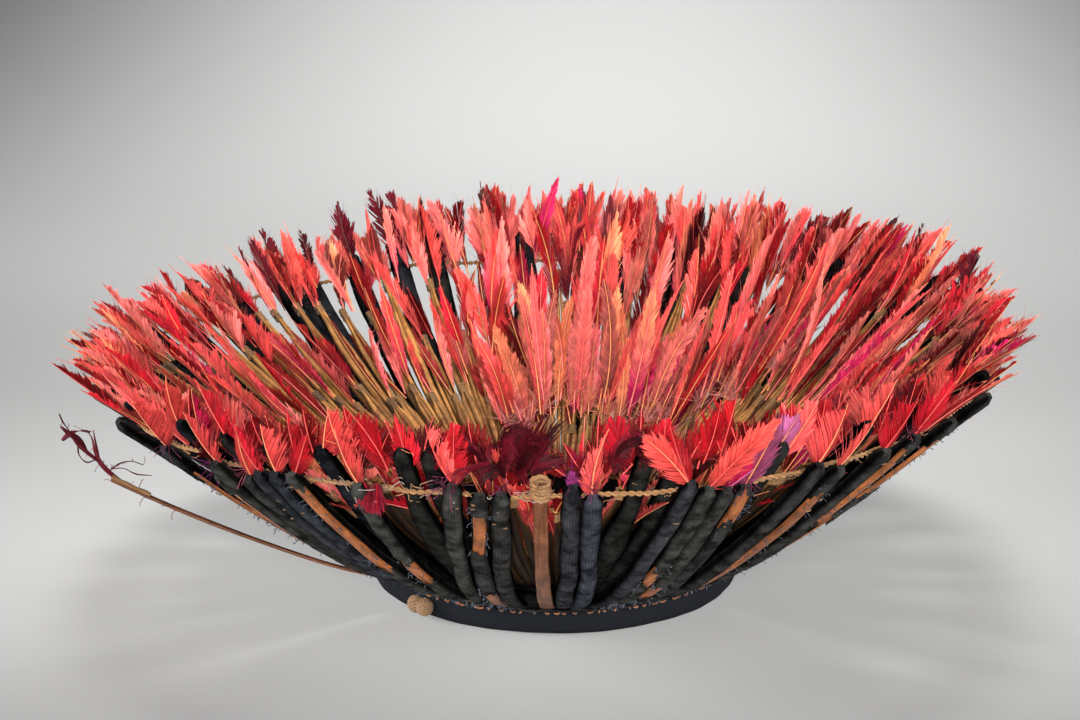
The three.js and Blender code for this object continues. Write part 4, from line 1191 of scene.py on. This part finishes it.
def loose_slat():
    """A slat sprung out under the left side, with dark strips of a feather bound at its tip."""
    piece = Piece("loose_slat_wood")
    path = curve_through(LOOSE_ROUTE, 60)
    across, out = follow(path, (0, 0, -1))
    mm = np.linspace(0, 170, 60)
    tube(piece, path, across, out, 3.6 + 0.3 * np.sin(mm / 13), 1.7, SLAT,
         linear(SLAT_BROWN) * 0.75, sides=10, square=0.5)
    tip = path[-1]
    binding = path[-9:] + np.array([0, 0, 1.4])
    across, out = follow(binding, (0, -1, 0))
    tube(piece, binding, across, out, 2.6, 2.4, SEWING, linear(TAN_YARN) * 0.8, sides=7,
         swell=rng.normal(0, 0.25, (9, 7)))
    for _ in range(10):
        root = path[rng.integers(46, 60)]
        frayed(piece, root, rng.normal(0, 1, 3), rng.uniform(4, 10), dyed(MAROON, 0.6, 1.4), 0.2)
    piece.make("slat_wood", "loose_slat")
    plume = Piece("loose_plume_strips")
    for width, *route in LOOSE_STRIPS:
        path = curve_through(tip + np.array(route, float), 24)
        across, out = follow(path, (0.5, -0.6, 0.5))
        roll = np.linspace(0, rng.uniform(1, 3), 24)[:, None]
        flat = np.cos(roll) * across + np.sin(roll) * out
        edge = np.cross(unit(np.gradient(path, axis=0)), flat)
        taper = width * (0.25 + 0.75 * np.sin(np.linspace(0.25, math.pi - 0.1, 24)))
        tube(plume, path, flat, edge, taper, 0.5, BARBS, dyed("#4a0f18", 0.7, 1.3), sides=6)
    for _ in range(26):
        route = LOOSE_STRIPS[rng.integers(len(LOOSE_STRIPS))][1:]
        root = tip + np.array(route[rng.integers(len(route))], float)
        frayed(plume, root, rng.normal(0, 1, 3), rng.uniform(3, 8), dyed(MAROON, 0.5, 1.2), 0.16)
    plume.make("dark_plume", "loose_plume")


# Where the loose slat runs, from its lashing at the band to its tip, as in the frame.
LOOSE_ROUTE = (
    (-84, -57.6, 14.9), (-97, -64, 19), (-118, -71, 26.5), (-150, -75, 39), (-184, -80, 54.5),
    (-214, -77, 66.5), (-238, -74, 77),
)
# The strips of the loose plume: width, then its route from the slat's tip.
LOOSE_STRIPS = (
    (3.2, (9, 0, -4), (0, 0, 3), (-5, -1, 9), (-8, -1, 16), (-10, -1, 25), (-12, -2, 28)),
    (2.8, (-4, 0, 8), (-11, -2, 15), (-17, -3, 21), (-21, -4, 29), (-24, -4, 34), (-25.5, -4, 38)),
    (4.2, (-25, -3, 23), (-20, -3, 27), (-14, -2, 28), (-10, -1, 27)),
    (4.0, (-12, -1, 15), (-17, -3, 24), (-22, -4, 28), (-25, -4, 31)),
    (1.6, (-17, -2, 20), (-16, -4, 15), (-12, -4, 11), (-8, -3, 12)),
    (1.2, (-1, 0, 5), (5, 1, 9), (11, 1, 10), (17, 1, 8)),
    (1.0, (0, 0, 6), (7, -2, 7), (13, -2, 4), (22, -2, 3)),
    (1.4, (-6, 1, 10), (-8, 2, 19), (-9, 2, 27)),
)


def band_knot():
    """Tan yarn knotted on the band: two lobes wound round and round."""
    piece = Piece("band_knot_yarn")
    azimuth = math.radians(-42.5)
    out = np.array([math.sin(azimuth), -math.cos(azimuth), 0])
    side = np.array([math.cos(azimuth), math.sin(azimuth), 0])
    up = np.array([0, 0, 1.0])
    radius, turns = 4.3, 9
    way_over = np.linspace(0, 1, 420)
    pole = np.cos(way_over * math.pi)
    ring = np.sqrt(np.clip(1 - pole**2, 0, 1))
    spin = way_over * 2 * math.pi * turns
    for lobe in (-1, 1):
        middle = out * (BAND_OUTER + 4.2) + side * lobe * 3.4 + up * 7.6
        axis = unit(side * 0.6 + up * lobe * 0.8)
        first = unit(np.cross(axis, out))
        second = np.cross(axis, first)
        ball = middle + radius * (
            np.outer(pole, axis) + np.outer(ring * np.cos(spin), first)
            + 0.85 * np.outer(ring * np.sin(spin), second))
        thread(piece, ball, 0.85, STRAW_FIBRE, linear(TAN_YARN) * 0.6, sides=6)
    piece.make("straw_twine", "band_knot")


def studio():
    """A pale sweep under and behind the headdress, and soft lights from above and low down."""
    curve = np.linspace(0.1, 0.8, 9)
    depth = np.concatenate([[-3.0, -1.0, 0, 1.0], 1.0 + np.sin(curve)])
    rise = np.concatenate([[0, 0, 0, 0], 1 - np.cos(curve)])
    points = [(x, y, z) for y, z in zip(depth, rise) for x in (-4.0, 4.0)]
    mesh = bpy.data.meshes.new("studio_sweep")
    corners = range(0, 2 * len(depth) - 2, 2)
    mesh.from_pydata(points, [], [(i, i + 1, i + 3, i + 2) for i in corners])
    mesh.polygons.foreach_set("use_smooth", [True] * len(mesh.polygons))
    sweep = bpy.data.objects.new("studio_sweep", mesh)
    bpy.context.scene.collection.objects.link(sweep)
    paper = bpy.data.materials.new("matt_paper")
    paper.use_nodes = True
    surface = paper.node_tree.nodes["Principled BSDF"]
    surface.inputs["Base Color"].default_value = (*linear("#a0a09f"), 1)
    surface.inputs["Roughness"].default_value = 0.9
    mesh.materials.append(paper)
    world = bpy.data.worlds.new("studio_air")
    world.use_nodes = True
    air = world.node_tree.nodes["Background"]
    air.inputs["Color"].default_value = (*linear("#f4f5f7"), 1)
    air.inputs["Strength"].default_value = 0.15
    bpy.context.scene.world = world
    # Each light: where it stands and aims in metres, its radius, its watts, and its cone's angle.
    for name, place, aim, size, power, cone in (
        ("sky_panel", (0.05, 0.75, 2.6), (0.05, 0.76, 0), 0.5, 420.0, 50),
        ("backdrop_spot", (0.08, 1.55, 1.5), (0.08, 1.56, 0), 0.3, 103.0, 60),
        ("front_fill", (0.0, -1.3, 0.35), (0.0, -0.06, 0), 0.25, 160.0, 34),
        ("low_fill_left", (-1.3, 0.1, 0.32), (-0.14, 0.0, 0), 0.2, 140.0, 26),
        ("low_fill_right", (1.3, 0.1, 0.32), (0.16, 0.0, 0), 0.2, 55.0, 26),
        ("side_fill_left", (-1.2, -0.8, 0.5), (-0.17, 0.03, 0), 0.25, 100.0, 32),
        ("side_fill_right", (1.2, -0.8, 0.5), (0.19, 0.03, 0), 0.25, 135.0, 32),
    ):
        lamp = bpy.data.lights.new(name, "SPOT")
        lamp.energy = power
        lamp.shadow_soft_size = size
        lamp.spot_size = math.radians(cone)
        lamp.spot_blend = 1.0
        light = bpy.data.objects.new(name, lamp)
        light.location = place
        way = np.array(aim) - np.array(place)
        from_down = math.acos(-way[2] / np.linalg.norm(way))
        light.rotation_euler = (from_down, 0, math.atan2(way[1], way[0]) - math.pi / 2)
        bpy.context.scene.collection.objects.link(light)


# The camera as the photograph was taken, from the fitted ellipses of the band and the rim: its
# distance in metres from the point that it looks at, how far above it stands, how far down and to
# the left it is turned, and the lens in mm.
CAMERA_AWAY = 1.351
CAMERA_ABOVE = math.radians(18.06)
CAMERA_DOWN = math.radians(15.46)
CAMERA_LEFT = math.radians(0.39)
CAMERA_AIM_HEIGHT = 0.060
CAMERA_LENS = 79.2


def camera():
    eye = bpy.data.cameras.new("camera")
    eye.lens = CAMERA_LENS
    eye.sensor_width = 36
    eye.clip_end = 30
    made = bpy.data.objects.new("camera", eye)
    made.location = (
        BAND_CENTRE[0] / 1000, BAND_CENTRE[1] / 1000 - CAMERA_AWAY * math.cos(CAMERA_ABOVE),
        CAMERA_AIM_HEIGHT + CAMERA_AWAY * math.sin(CAMERA_ABOVE),
    )
    made.rotation_euler = (math.pi / 2 - CAMERA_DOWN, 0, CAMERA_LEFT)
    bpy.context.scene.collection.objects.link(made)
    bpy.context.scene.camera = made


camera()
studio()
head_band()
outer_ribs()
inner_ribs()
bare_slat()
rim_twine()
for quarter, azimuth in QUARTERS.items():
    node = f"middle_canes_{quarter}"
    cane_tier(node + "_splints", node, 0, MIDDLE_CANES, azimuth, 45)
cane_tier("inner_cane_splints", "inner_canes", 1, INNER_CANES)
inner_plumes()
middle_plumes()
outer_plumes()
loose_slat()
band_knot()
bpy.context.scene.view_settings.view_transform = "Standard"
